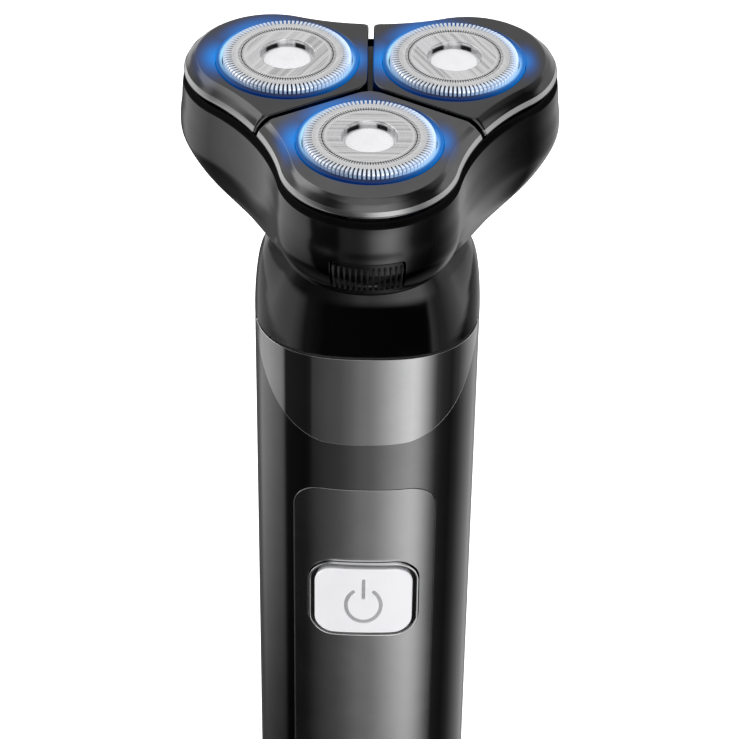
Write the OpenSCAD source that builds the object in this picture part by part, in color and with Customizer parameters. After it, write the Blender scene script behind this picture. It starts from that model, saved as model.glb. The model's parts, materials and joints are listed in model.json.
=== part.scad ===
// Rotary electric shaver with three floating cutters, standing upright on its base.
// Origin: centre of the flat base. +Z runs up the handle to the cutters, and the power button faces -Y.

/* [Handle] */
// Height from the base to the top of the cutter guards
total_h = 168; // [160:1:176]
// Width of the handle across X
handle_w = 40; // [39:0.5:42]
// Depth of the handle along Y
handle_d = 34; // [33.5:0.5:36]
// Exponent of the handle's superellipse section, 2 is an ellipse
squareness = 2.6; // [2.4:0.1:3]
// Thickness of the handle's shells
shell_t = 2; // [1.6:0.1:2.2]
// Distance from the top of the guards down to the shoulder edge
shoulder_drop = 45.7; // [45:0.1:47]
// Width of the front panel
panel_w = 25.8; // [25:0.2:26.2]
// Height of the button's centre above the base
button_z = 65.5; // [60:0.1:70]
// Width of the power button
button_w = 18.2; // [16:0.1:18.6]
// Height of the power button
button_h = 16; // [14:0.1:17]
// Travel of the power button
button_travel = 0.8; // [0.5:0.1:0.9]

/* [Head] */
// Outer radius of each cutter guard
guard_r = 11; // [10.8:0.1:11.1]
// Radius of the circle through the three cutter axes
pitch_r = 16.45; // [16.45:0.01:16.45]
// Distance from the head's axis to the centre of each lobe's outer arc
lobe_c = 19.6; // [19.4:0.1:19.8]
// Radius of each lobe's outer arc
lobe_r = 15.4; // [15.3:0.1:15.6]
// Distance from the head's axis to the centre of the hollow arc between two lobes
saddle_c = 59.8; // [58:0.1:62]
// Width of the gaps between the three petals
petal_gap = 1.6; // [1.4:0.1:1.8]
// Outer radius of the hair chamber's round foot
foot_r = 16.5; // [16:0.1:17]
// Travel of a guard pressed into its petal
float_travel = 1; // [0.6:0.1:1]

/* [Gears] */
// Module of the gear train
gear_m = 0.7; // [0.7:0.1:0.7]
// Teeth of the centre gear
centre_teeth = 27; // [27:1:27]
// Teeth of each drive gear
drive_teeth = 20; // [20:1:20]

/* [Hidden] */
$fn = 48;

// Each cutter station's name and the direction of its lobe
STATIONS = [["front", -90], ["right", 30], ["left", 150]];

ring_n = 60;                      // points round each lofted section
half_w = handle_w / 2;
half_d = handle_d / 2;
shoulder_z = total_h - shoulder_drop;
base_h = 6;                       // height of the base cap's visible band
plate_t = 1.2;                    // thickness of the front panel and the badge plate
panel_proud = 0.2;                // how far the panel stands out of the shell
panel_top = shoulder_z - 30.2;
panel_low = base_h + 4;
panel_corner = 5;
badge_low = shoulder_z - 19.3;    // badge plate's lowest point, at the front
badge_slope = 1.5;                // rise of its slanting lower edge for each mm back
bezel_w = button_w + 2.2;
bezel_h = button_h + 2.2;
button_corner = 3.6;
button_face = half_d + 0.9;       // button's face, measured forward from the axis
board_y = -9.6;                   // front face of the circuit board
board_t = 1.2;
battery_r = 9;
battery_y = 3.6;
TAB_Z = [base_h + 7, base_h + 72]; // undersides of the battery's two tabs
motor_r = 12;
motor_z = shoulder_z - 35.5;
motor_h = 30;
shaft_r = 1.15;
bracket_z = motor_z + motor_h;

petal_top = total_h - 0.9;
petal_low = total_h - 3.3;
petal_edge = 0.6;                 // height of the petal's upright lower band
chamfer = 2.7;                    // how far the petal's top edge is set in
rim_z = petal_low - 1.2;          // top of the hair chamber
foot_z = total_h - 29.2;          // bottom of the hair chamber
chamber_t = 1.4;
dome_top = foot_z - 0.5;
spigot_r = 10.4;
collar_in = spigot_r + 0.08;
collar_out = 11.5;
carrier_z = total_h - 21;
gear_z = total_h - 18;
gear_face = 2.6;
cover_z = total_h - 14.6;
frame_z = total_h - 12.3;
plate_h = 1.6;                    // thickness of the carrier and frame plates
retainer_z = total_h - 7.6;
ring_low = total_h - 4.5;         // underside of the light ring
light_in = guard_r + 0.2;
light_out = 12.2;
flange_r = 11.6;
recess_r = 4.8;                   // radius of the guard's polished centre recess
tilt_along = 31;                  // petal pivot, measured from the head's axis
tilt_z = total_h - 5.8;
pin_r = 0.8;
latch_w = 12.4;
latch_low = foot_z + 10.5;
latch_top = foot_z + 17.4;

// ---- section functions ----

// Radius of the handle's superellipse section in direction a
function oval_r(a, w, d) =
    pow(pow(abs(cos(a)) / w, squareness) + pow(abs(sin(a)) / d, squareness), -1 / squareness);
function oval(w, d, n = ring_n) = [for (i = [0:n - 1]) let (a = 360 * i / n) oval_r(a, w, d) * [cos(a), sin(a)]];

// Radius of the three-lobed outline, moved out by grow, in direction a
saddle_r = norm([saddle_c - lobe_c * cos(60), lobe_c * sin(60)]) - lobe_r;
function off_lobe(a) = let (m = (a + 90) % 120, p = m < 0 ? m + 120 : m) min(p, 120 - p);
function switch_angle(grow) =
    let (u = [saddle_c - lobe_c * cos(60), -lobe_c * sin(60)] / (saddle_r + lobe_r),
         p = [lobe_c * cos(60), lobe_c * sin(60)] + (lobe_r + grow) * u)
    60 - atan2(p[1], p[0]);
function lobes_r(a, grow = 0) =
    let (phi = off_lobe(a), psi = 60 - phi)
    phi < switch_angle(grow)
        ? lobe_c * cos(phi) + sqrt(pow(lobe_r + grow, 2) - pow(lobe_c * sin(phi), 2))
        : saddle_c * cos(psi) - sqrt(pow(saddle_r - grow, 2) - pow(saddle_c * sin(psi), 2));

// The hair chamber's wall runs from the lobed rim to the round foot: share 1 is the rim's outline
CHAMBER_SHARE = [[0, 0], [1, 0.16], [2.4, 0.36], [5, 0.58], [8, 0.785], [11, 0.928], [12.6, 0.985], [14, 1.02],
                 [17, 1.03], [20, 1.01], [22.5, 1], [24.7, 0.985]];
function chamber_share(z) = lookup(z - foot_z, CHAMBER_SHARE);
function chamber_section(share, grow = 0, n = ring_n) =
    [for (i = [0:n - 1]) let (a = 360 * i / n) (foot_r * (1 - share) + lobes_r(a) * share + grow) * [cos(a), sin(a)]];
// The wall's inner skin, gap further in; most keeps a plate small enough to lift out of the rim
function chamber_inner(z, gap = 0, most = 2) =
    chamber_section(min(most, chamber_share(z - chamber_t)), -chamber_t - gap);

function at_height(section, z) = [for (p = section) [p[0], p[1], z]];
function circle_points(r, n = ring_n) = [for (i = [0:n - 1]) r * [cos(360 * i / n), sin(360 * i / n)]];

// ---- solids from sections ----

// Faces that join two neighbouring rings of n points
function band(low, high, n) = [for (i = [0:n - 1], t = [0, 1])
    let (k = (i + 1) % n)
    t == 0 ? [low * n + i, high * n + i, high * n + k] : [low * n + i, high * n + k, low * n + k]];

// A closed skin whose rings run up the outside and back down the inside
module tube_skin(rings) {
    n = len(rings[0]);
    m = len(rings);
    polyhedron(points = [for (r = rings, p = r) p],
               faces = [for (j = [0:m - 1], f = band(j, (j + 1) % m, n)) f], convexity = 6);
}

// A solid whose rings run upwards, with its ends fanned from a middle point
module solid_skin(rings, middle = [0, 0]) {
    n = len(rings[0]);
    m = len(rings);
    low = [middle[0], middle[1], rings[0][0][2]];
    high = [middle[0], middle[1], rings[m - 1][0][2]];
    polyhedron(points = concat([for (r = rings, p = r) p], [low, high]),
               faces = concat([for (j = [0:m - 2], f = band(j, j + 1, n)) f],
                              [for (i = [0:n - 1]) [m * n, i, (i + 1) % n]],
                              [for (i = [0:n - 1]) [m * n + 1, (m - 1) * n + (i + 1) % n, (m - 1) * n + i]]),
               convexity = 6);
}

module oval_prism(inset, z0, z1) {
    translate([0, 0, z0])
        linear_extrude(z1 - z0) polygon(oval(half_w - inset, half_d - inset));
}

module oval_ring(inset_out, inset_in, z0, z1) {
    difference() {
        oval_prism(inset_out, z0, z1);
        oval_prism(inset_in, z0 - 1, z1 + 1);
    }
}

module tube(r_out, r_in, z0, z1) {
    translate([0, 0, z0]) difference() {
        cylinder(r = r_out, h = z1 - z0);
        translate([0, 0, -1]) cylinder(r = r_in, h = z1 - z0 + 2);
    }
}

module rod(r, z0, z1) {
    translate([0, 0, z0]) cylinder(r = r, h = z1 - z0);
}

module hex(r, z0, z1) {
    translate([0, 0, z0]) cylinder(r = r, h = z1 - z0, $fn = 6);
}

// A rounded rectangle standing in the XZ plane, run along Y
module slab(w, h, corner, z, y0, y1) {
    translate([0, y1, z]) rotate([90, 0, 0]) linear_extrude(y1 - y0) union() {
        square([w - 2 * corner, h], center = true);
        square([w, h - 2 * corner], center = true);
        for (x = [-1, 1], y = [-1, 1])
            translate([x * (w / 2 - corner), y * (h / 2 - corner)]) circle(r = corner);
    }
}

module box(x, y, z) {
    translate([x[0], y[0], z[0]]) cube([x[1] - x[0], y[1] - y[0], z[1] - z[0]]);
}

// Children drawn about a cutter station's own axis, with +X pointing out along its lobe
module at_station(dir) {
    rotate([0, 0, dir]) translate([pitch_r, 0, 0]) children();
}

// ---- gears ----

pressure = 20;
backlash = 0.16;
function involute(alpha) = tan(alpha) * 180 / PI - alpha;
function tooth_half(r, teeth) =
    let (rp = gear_m * teeth / 2, rb = rp * cos(pressure), alpha = r > rb ? acos(rb / r) : 0)
    90 / teeth - backlash * 90 / (PI * rp) + involute(pressure) - involute(alpha);
function gear_points(teeth) =
    let (rp = gear_m * teeth / 2, tip = rp + 0.8 * gear_m, root = rp - 1.05 * gear_m,
         rs = [max(root + 0.02, rp * cos(pressure)), rp - 0.2 * gear_m, rp + 0.3 * gear_m, tip])
    [for (k = [0:teeth - 1], s = [-1, 1], i = [0:4])
        let (j = s < 0 ? i : 4 - i, r = j == 0 ? root : rs[j - 1], h = tooth_half(max(r, rs[0]), teeth),
             a = 360 * k / teeth + s * h)
        r * [cos(a), sin(a)]];

module toothed(teeth, z) {
    translate([0, 0, z]) linear_extrude(gear_face) polygon(gear_points(teeth));
}

// ---- handle ----

module badge_region(clear = 0) {
    // Above a plane that rises towards the back, in front of the handle's sides
    low = badge_low - clear;
    rotate([90, 0, 90]) translate([0, 0, -half_w - 1]) linear_extrude(2 * half_w + 2)
        polygon([[-half_d - 2, low - 2 * badge_slope], [-half_d - 2, shoulder_z + 1],
                 [-half_d + (shoulder_z - low) / badge_slope, shoulder_z + 1],
                 [-half_d + (shoulder_z - low) / badge_slope, shoulder_z],
                 [-half_d + 0.6, low], [-half_d, low - 0.4]]);
}

module badge_plate() {
    color("dimgray") intersection() {
        oval_ring(0, plate_t, badge_low - 4, shoulder_z - 0.4);
        badge_region();
    }
}

module panel_region(clear = 0) {
    slab(panel_w + 2 * clear, panel_top - panel_low + 2 * clear, panel_corner,
         (panel_top + panel_low) / 2, -half_d - 2, -half_d + 4);
}

module button_window(clear = 0, y0 = -half_d - 3, y1 = -half_d + 5) {
    slab(bezel_w + 2 * clear, bezel_h + 2 * clear, button_corner + 1.1, button_z, y0, y1);
}

module front_panel() {
    color("#3a3b3d") difference() {
        intersection() {
            oval_ring(-panel_proud, plate_t, panel_low, panel_top);
            panel_region();
        }
        button_window();
    }
}

module half_shell(front) {
    y = front ? [-half_d - 1, 0] : [0, half_d + 1];
    intersection() {
        oval_ring(0, shell_t, base_h, shoulder_z - 0.4);
        box([-half_w - 1, half_w + 1], y, [0, total_h]);
    }
}

module rear_shell() {
    color("#1b1b1d") half_shell(false);
}

module front_shell() {
    color("#1d1d1f") difference() {
        half_shell(true);
        intersection() {
            oval_ring(-1, plate_t, badge_low - 4, shoulder_z);
            badge_region();
        }
        intersection() {
            oval_ring(-1, plate_t, panel_low, panel_top);
            panel_region();
        }
        button_window();
    }
}

module button_bezel() {
    color("silver") difference() {
        slab(bezel_w, bezel_h, button_corner + 1.1, button_z, -button_face + 0.2, -half_d + shell_t + 0.6);
        slab(button_w + 0.4, button_h + 0.4, button_corner + 0.2, button_z, -button_face - 1, -half_d + 5);
    }
}

module power_button() {
    color("gainsboro") {
        slab(button_w, button_h, button_corner, button_z, -button_face, -half_d + 1.6);
        translate([0, -half_d + 1.6, button_z]) rotate([-90, 0, 0]) cylinder(r = 2, h = 2.85);
    }
}

module button_gasket() {
    color("black") difference() {
        slab(bezel_w + 2, bezel_h + 2, 3, button_z, -half_d + 4.1, -half_d + 4.9);
        slab(7, 7, 1.5, button_z, -half_d + 3, -half_d + 6);
    }
}

module base_cap() {
    slot_y = 7;
    color("#161617") difference() {
        union() {
            solid_skin([for (s = [[2.2, 0], [0.9, 0.9], [0.2, 2.6], [0, 4], [0, base_h]])
                at_height(oval(half_w - s[0], half_d - s[0]), s[1])]);
            oval_prism(shell_t + 0.1, base_h - 0.5, base_h + 3.4);
        }
        hull() for (x = [-2.95, 2.95])
            translate([x, slot_y, -1]) cylinder(r = 1.75, h = base_h + 6, $fn = 32);
        oval_prism(shell_t + 2, 2.4, base_h + 5);
    }
}

module charging_socket() {
    slot_y = 7;
    color("silver") translate([0, slot_y, 0.6]) {
        difference() {
            union() for (x = [-2.84, 2.84]) translate([x, 0, 0]) cylinder(r = 1.63, h = 7.4);
            for (x = [-2.84, 2.84]) translate([x, 0, -1]) cylinder(r = 1.33, h = 7.4);
            box([-2.84, 2.84], [-1.33, 1.33], [-1, 6.4]);
        }
        for (y = [-1, 1]) translate([-2.84, y > 0 ? 1.33 : -1.63, 0]) cube([5.68, 0.3, 7.4]);
        box([-2.84, 2.84], [-1.4, 1.4], [6.4, 7.4]);
        box([-3.3, 3.3], [-0.35, 0.35], [1, 6.5]);
    }
}

// One ring of the dome: the handle's section, shrunk, then shared out towards the spigot's circle
function dome_ring(scale, share, z, grow = 0) = [for (i = [0:ring_n - 1])
    let (a = 360 * i / ring_n, r = oval_r(a, half_w, half_d) * scale * (1 - share) + spigot_r * share + grow)
    [r * cos(a), r * sin(a), z]];

module shoulder_dome() {
    t = shell_t - 0.2;
    color("#0c0c0d") tube_skin([
        dome_ring(1, 0, shoulder_z), dome_ring(1, 0, shoulder_z + 4), dome_ring(0.99, 0, shoulder_z + 6.4),
        dome_ring(0.966, 0, shoulder_z + 9.6), dome_ring(0.926, 0, shoulder_z + 12.3),
        dome_ring(0.882, 0.03, dome_top - 2), dome_ring(0.83, 0.1, dome_top - 0.9), dome_ring(0.76, 0.25, dome_top - 0.2),
        dome_ring(1, 1, dome_top, 0.1), dome_ring(1, 1, dome_top - t, 0.1), dome_ring(0.8, 0.2, dome_top - t - 0.2, -t),
        dome_ring(0.9, 0, dome_top - 4.4, -t), dome_ring(0.97, 0, shoulder_z + 8, -t),
        dome_ring(1, 0, shoulder_z + 3.6, -t), dome_ring(1, 0, shoulder_z, -t)
    ]);
}

module shoulder_gasket() {
    color("black") oval_ring(0.35, shell_t, shoulder_z - 0.4, shoulder_z);
}

module neck_spigot() {
    top = foot_z + 4.4;
    color("#222224") {
        tube(spigot_r, spigot_r - 1.6, dome_top - 4.6, top);
        tube(spigot_r + 1, spigot_r - 1.6, dome_top - 4.2, dome_top - 2.8);
        tube(spigot_r, 3.2, top - 1.6, top);
    }
}

module shaft_seal() {
    color("black") tube(4.6, 2.75, foot_z + 0.8, foot_z + 2.7);
}

// ---- inside the handle ----

module motor() {
    color("silver") difference() {
        union() {
            rod(motor_r, motor_z, motor_z + motor_h);
            rod(3, motor_z - 1.4, motor_z);
            rod(3.1, motor_z + motor_h, motor_z + motor_h + 1.8);
        }
        rod(shaft_r + 0.08, motor_z - 3, motor_z + motor_h + 3);
    }
    color("goldenrod") for (x = [-7, 7])
        box([x - 1, x + 1], [-0.2, 0.2], [motor_z - 3, motor_z]);
}

module motor_bracket() {
    color("#2b2b2e") difference() {
        oval_prism(shell_t + 0.2, bracket_z, bracket_z + 2.4);
        rod(3.2, bracket_z - 1, bracket_z + 4);
        for (x = [-8, 8]) translate([x, 0, 0]) rod(1.1, bracket_z - 1, bracket_z + 4);
    }
}

module bracket_screws() {
    color("silver") for (x = [-8, 8]) translate([x, 0, 0]) difference() {
        union() {
            rod(1, bracket_z, bracket_z + 2.4);
            rod(1.9, bracket_z + 2.4, bracket_z + 3.7);
        }
        hex(0.9, bracket_z + 2.9, bracket_z + 4);
    }
}

module inner_frame() {
    seat = base_h + 5;
    floor_z = motor_z - 4.6;
    color("#333336") {
        difference() {
            oval_prism(shell_t + 0.3, seat, seat + 2);
            translate([0, battery_y, 0]) rod(battery_r - 2, seat - 1, seat + 3);
        }
        // Wall behind the circuit board, with slots for the battery's tabs
        difference() {
            box([-12.5, 12.5], [-7.6, -6.2], [seat + 1, floor_z + 1]);
            for (z = TAB_Z) box([-3.2, 3.2], [-8, -6], [z - 0.1, z + 0.3]);
        }
        difference() {
            oval_prism(shell_t + 0.3, floor_z, floor_z + 1.4);
            box([-11, 11], [-4, 4], [floor_z - 1, floor_z + 3]);
            box([-8, 8], [-15, -8], [floor_z - 1, floor_z + 3]);
        }
        intersection() {
            tube(motor_r + 1.4, motor_r + 0.1, floor_z + 1, bracket_z);
            box([-20, 20], [4, 20], [0, total_h]);
        }
    }
}

module battery() {
    low = base_h + 7.2;
    color("steelblue") translate([0, battery_y, 0]) {
        rod(battery_r, low, low + 64);
        rod(2.6, low + 64, low + 64.8);
    }
}

module battery_tabs() {
    color("silver") for (z = TAB_Z) box([-3, 3], [board_y + board_t, battery_y + 2], [z, z + 0.2]);
}

module circuit_board() {
    color("darkgreen") difference() {
        box([-11.5, 11.5], [board_y, board_y + board_t], [base_h + 7.4, motor_z - 6]);
        for (x = [-9.5, 9.5], z = [base_h + 10, motor_z - 9])
            translate([x, board_y - 1, z]) rotate([-90, 0, 0]) cylinder(r = 1.1, h = 4);
    }
    color("#151515") {
        box([-4, 4], [board_y - 1.1, board_y], [button_z - 25, button_z - 17]);
        box([-3, 2], [board_y - 1, board_y], [base_h + 16, base_h + 20]);
    }
    color("white") box([-2, 2], [board_y + board_t, -7.6], [button_z - 8, button_z - 2]);
}

module tact_switch() {
    color("#2a2a2a") box([-3, 3], [board_y - 1.8, board_y], [button_z - 3, button_z + 3]);
    color("white") translate([0, board_y - 2.1, button_z]) rotate([-90, 0, 0]) cylinder(r = 1.6, h = 0.3);
}

module motor_leads() {
    wire_r = 0.5;
    wire_y = board_y - wire_r;
    bend_z = motor_z - 2.6;
    color("red") for (x = [-7, 7]) translate([x, wire_y, 0]) {
        translate([0, 0, motor_z - 8.6]) cylinder(r = wire_r, h = bend_z - motor_z + 8.6);
        translate([0, 0, bend_z]) rotate([-90, 0, 0]) cylinder(r = wire_r, h = -wire_y - 0.3);
        translate([0, 0, bend_z]) sphere(r = wire_r);
    }
}

module motor_shaft() {
    color("lightgray") rod(shaft_r, motor_z - 2, foot_z + 4);
}

module drive_coupling() {
    low = foot_z - 1;
    color("white") difference() {
        union() {
            hex(2.6, low, total_h - 19.5);
            rod(2.6, low, foot_z + 4.6);
        }
        rod(shaft_r, low - 1, foot_z + 4);
    }
}

// ---- head ----

module latch_window(clear) {
    box([-latch_w / 2 - clear, latch_w / 2 + clear], [-40, -foot_r - 8], [latch_low - clear, latch_top + clear]);
}

module chamber_skin(grow = 0) {
    outer_h = [0, 1, 2.4, 5, 8, 11, 12.6, 14, 17, 20, 22.5];
    inner_h = [22.5, 18.4, 15.4, 12.4, 9.4, 6.4];
    tube_skin(concat(
        [for (h = outer_h) at_height(chamber_section(chamber_share(foot_z + h), grow), foot_z + h)],
        [at_height(chamber_section(chamber_share(rim_z), grow), rim_z), at_height(chamber_inner(rim_z), rim_z)],
        [for (h = inner_h) at_height(chamber_inner(foot_z + h), foot_z + h)],
        [for (h = [4.8, 0]) at_height(circle_points(collar_out + 0.1), foot_z + h)]));
}

module hair_chamber() {
    color("#131315") difference() {
        chamber_skin();
        latch_window(0);
    }
}

module release_latch() {
    ribs = 11;
    color("#101011") {
        intersection() {
            chamber_skin(0.1);
            latch_window(-0.2);
        }
        // Upright grip ribs, standing out of the pad
        intersection() {
            chamber_skin(0.5);
            for (k = [0:ribs - 1])
                translate([(k - (ribs - 1) / 2) * 1.08, 0, 0])
                    box([-0.3, 0.3], [-40, -foot_r - 8], [latch_low + 0.5, latch_top - 0.8]);
        }
        // Stem that reaches in under the cutter frame
        box([-2.5, 2.5], [-34.6, -29.8], [cover_z + 1.55, frame_z - 0.1]);
    }
}

module head_collar() {
    color("#2a2a2c") tube(collar_out, collar_in, foot_z + 0.2, foot_z + 4.6);
}

module inner_plate(z, thick, gap = 0.3) {
    translate([0, 0, z]) linear_extrude(thick) polygon(chamber_inner(z, gap, 0.96));
}

module gear_carrier() {
    color("#3b3b3e") difference() {
        inner_plate(carrier_z, plate_h);
        rod(4.15, carrier_z - 1, carrier_z + 3);
        for (s = STATIONS) at_station(s[1]) rod(1.08, carrier_z - 1, carrier_z + 3);
    }
}

module centre_gear() {
    color("ivory") difference() {
        union() {
            toothed(centre_teeth, gear_z);
            rod(5, gear_z - 1.3, gear_z + 0.5);
            rod(4, carrier_z - 3.2, gear_z);
            rod(1.2, gear_z, cover_z + 0.8);
        }
        hex(2.78, carrier_z - 4, carrier_z + 2);
    }
}

module drive_gear(dir) {
    turn = dir * centre_teeth / drive_teeth + 180 - 180 / drive_teeth;
    color("ivory") at_station(dir) difference() {
        union() {
            rotate([0, 0, turn]) toothed(drive_teeth, gear_z);
            rod(3, gear_z - 1.3, gear_z + 0.5);
            rod(1, carrier_z + 0.1, gear_z);
            rod(3.2, gear_z + 1, cover_z + 3.4);
        }
        hex(2.15, gear_z + 0.2, cover_z + 4);
    }
}

module gear_cover() {
    color("#2f2f32") difference() {
        inner_plate(cover_z, 1.4);
        rod(1.3, cover_z - 1, cover_z + 0.9);
        for (s = STATIONS) at_station(s[1]) rod(3.35, cover_z - 1, cover_z + 3);
    }
}

module spindle(dir) {
    color("white") at_station(dir) {
        hex(1.95, cover_z + 0.2, cover_z + 5.2);
        translate([0, 0, cover_z + 5.2]) linear_extrude(4.6) union() {
            square([2.6, 2.2], center = true);
            for (x = [-1.2, 1.2]) translate([x, 0]) circle(r = 1.1);
        }
    }
}

// A coil spring under the spindle, inside the drive gear's hub
module spindle_spring(dir) {
    turns = 4;
    steps = 10;                   // rings in each turn
    sides = 6;
    coil_r = 1.45;
    wire_r = 0.2;
    low = gear_z + 0.45;
    high = cover_z - 0.05;
    n = turns * steps;
    color("silver") at_station(dir) polyhedron(
        points = concat(
            [for (i = [0:n], k = [0:sides - 1])
                let (a = 360 * i / steps, b = 360 * k / sides, r = coil_r + wire_r * cos(b))
                [r * cos(a), r * sin(a), low + (high - low) * i / n + wire_r * sin(b)]],
            [[coil_r, 0, low], [coil_r, 0, high]]),
        faces = concat(
            [for (j = [0:n - 1], i = [0:sides - 1], t = [0, 1])
                let (k = (i + 1) % sides, p = j * sides, q = p + sides)
                t == 0 ? [p + i, q + k, q + i] : [p + i, p + k, q + k]],
            [for (i = [0:sides - 1]) [(n + 1) * sides, (i + 1) % sides, i]],
            [for (i = [0:sides - 1]) [(n + 1) * sides + 1, n * sides + i, n * sides + (i + 1) % sides]]),
        convexity = 10);
}

module cutter_frame() {
    color("#18181a") {
        difference() {
            inner_plate(frame_z, plate_h, 0.4);
            for (s = STATIONS) at_station(s[1]) rod(10.6, frame_z - 1, frame_z + 3);
        }
        // Y-shaped rib under the gaps between the petals
        for (s = STATIONS) rotate([0, 0, s[1] + 180])
            box([0, 19.6], [-0.6, 0.6], [frame_z + 0.2, total_h - 5.1]);
        for (s = STATIONS) rotate([0, 0, s[1]]) {
            box([29.9, 31.9], [-3.1, 3.1], [frame_z + 0.2, tilt_z + 0.9]);
            translate([tilt_along, 5, tilt_z]) rotate([90, 0, 0]) cylinder(r = pin_r, h = 10);
        }
        // Feet that rest on the gear cover
        for (s = STATIONS) rotate([0, 0, s[1] + 180]) translate([13.5, 0, 0]) rod(1.5, cover_z + 1.4, frame_z + 0.2);
    }
}

// One third of the lobed outline, pulled in from the gaps, with its inner corner rounded
PETAL_N = 40;
function petal_section(grow, z) =
    let (half = petal_gap / 2 - grow * 0.2, corner = 4.2,
         edge = lobes_r(30, grow), span = 60 - asin(half / edge),
         tip = half / sin(60), tuck = corner / tan(60),
         outer = [for (i = [0:PETAL_N]) let (f = -span + 2 * span * i / PETAL_N)
             lobes_r(f - 90, grow) * [cos(f), sin(f)]],
         c = tip + corner / sin(60),
         inner = [for (i = [0:6]) let (a = 150 + 60 * i / 6) [c + corner * cos(a), corner * sin(a)]])
    [for (p = concat(outer, inner)) [p[0], p[1], z]];

module petal(dir) {
    color("#2e2e30") rotate([0, 0, dir]) difference() {
        union() {
            solid_skin([petal_section(-0.3, petal_low), petal_section(-0.4, petal_low + petal_edge),
                        petal_section(-chamfer, petal_top)], middle = [pitch_r, 0]);
            for (y = [-1, 1])
                box([30, 32], y > 0 ? [3.4, 5] : [-5, -3.4], [tilt_z - 1.2, petal_low + 0.4]);
        }
        translate([pitch_r, 0, 0]) rod(light_out + 0.1, petal_low - 0.5, petal_top + 1);
        translate([tilt_along, 8, tilt_z]) rotate([90, 0, 0]) cylinder(r = pin_r + 0.08, h = 16);
    }
}

module light_ring(dir) {
    color("deepskyblue") at_station(dir) tube(light_out, light_in, ring_low, petal_top + 0.1);
}

module retainer(dir) {
    color("#202022") at_station(dir) {
        tube(light_out, flange_r + 0.15, retainer_z + 0.4, ring_low);
        tube(light_out, guard_r - 0.6, retainer_z, retainer_z + 0.8);
    }
}

module guard(dir) {
    slots = 24;
    wall = 0.5;
    groove_r = 7.9;
    color("silver") at_station(dir) difference() {
        rotate_extrude() polygon([
            [recess_r, total_h - 1.7], [recess_r, total_h], [groove_r - 0.2, total_h],
            [groove_r - 0.2, total_h - 0.25], [groove_r + 0.2, total_h - 0.25], [groove_r + 0.2, total_h],
            [guard_r - 0.6, total_h], [guard_r, total_h - 0.6], [guard_r, total_h - 4.8],
            [flange_r, total_h - 4.8], [flange_r, total_h - 5.7], [guard_r - wall, total_h - 5.7],
            [guard_r - wall, total_h - 1], [guard_r - 1, total_h - wall],
            [recess_r + 0.45, total_h - wall], [recess_r + 0.45, total_h - 1.7]]);
        for (k = [0:slots - 1]) rotate([0, 0, 360 * k / slots])
            box([8.7, guard_r + 1], [-0.2, 0.2], [total_h - 1.1, total_h + 1]);
    }
}

module guard_cap(dir) {
    color("whitesmoke") at_station(dir) rod(recess_r, total_h - 1.65, total_h - 1.15);
}

module cutter(dir) {
    blades = 12;
    color("lightgray") at_station(dir) {
        difference() {
            union() {
                rod(9.8, total_h - 5.2, total_h - 4.4);
                rod(4.4, total_h - 6.2, total_h - 2);
            }
            translate([0, 0, total_h - 7]) linear_extrude(4.3) square([6.2, 4], center = true);
        }
        for (k = [0:blades - 1]) rotate([0, 0, 360 * k / blades]) {
            box([8.6, 9.7], [-0.25, 0.25], [total_h - 4.6, total_h - 0.75]);
            box([5.8, 7.4], [-0.25, 0.25], [total_h - 4.6, total_h - 0.75]);
        }
    }
}

// ---- what is drawn ----

rear_shell();
front_shell();
badge_plate();
front_panel();
button_bezel();
base_cap();
shoulder_dome();
shoulder_gasket();
neck_spigot();
shaft_seal();
motor();
motor_bracket();
bracket_screws();
inner_frame();
battery();
battery_tabs();
circuit_board();
tact_switch();
charging_socket();
button_gasket();
motor_leads();
power_button();
motor_shaft();
drive_coupling();
hair_chamber();
head_collar();
gear_carrier();
gear_cover();
release_latch();
centre_gear();
cutter_frame();
for (s = STATIONS) {
    drive_gear(s[1]);
    spindle(s[1]);
    spindle_spring(s[1]);
    petal(s[1]);
    light_ring(s[1]);
    retainer(s[1]);
    guard(s[1]);
    guard_cap(s[1]);
    cutter(s[1]);
}
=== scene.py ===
"""The looks of a rotary electric shaver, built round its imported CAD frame.

Shapes are worked out in millimetres and become metres when a mesh is made. The handle stands along Z,
-Y is the side with the power button, and each cutter station lies along its own lobe of the head.
"""
import json
import math

import bpy
import numpy as np
from mathutils import Matrix, Vector
from mathutils.geometry import delaunay_2d_cdt


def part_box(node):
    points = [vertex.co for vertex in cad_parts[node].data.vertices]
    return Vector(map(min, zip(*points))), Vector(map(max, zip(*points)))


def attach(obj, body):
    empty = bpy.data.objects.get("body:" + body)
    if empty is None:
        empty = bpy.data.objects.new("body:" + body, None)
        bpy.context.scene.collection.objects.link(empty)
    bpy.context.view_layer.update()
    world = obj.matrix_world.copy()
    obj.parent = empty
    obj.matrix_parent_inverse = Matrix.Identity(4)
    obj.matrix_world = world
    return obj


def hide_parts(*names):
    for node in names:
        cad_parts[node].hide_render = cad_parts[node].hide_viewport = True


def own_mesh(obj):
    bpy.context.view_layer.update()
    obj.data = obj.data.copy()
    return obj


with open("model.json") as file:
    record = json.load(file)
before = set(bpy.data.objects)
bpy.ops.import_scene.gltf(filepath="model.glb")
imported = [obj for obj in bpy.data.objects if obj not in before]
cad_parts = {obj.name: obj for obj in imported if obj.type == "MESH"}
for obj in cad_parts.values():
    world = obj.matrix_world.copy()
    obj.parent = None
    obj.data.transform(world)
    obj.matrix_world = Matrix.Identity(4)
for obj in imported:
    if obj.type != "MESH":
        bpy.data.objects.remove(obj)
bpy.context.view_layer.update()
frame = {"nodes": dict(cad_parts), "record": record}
NODES = frame["nodes"]
MM = 0.001


# ---- sizes, from the frame ----

def low(node):
    return np.array(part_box(node)[0]) / MM


def high(node):
    return np.array(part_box(node)[1]) / MM


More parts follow.
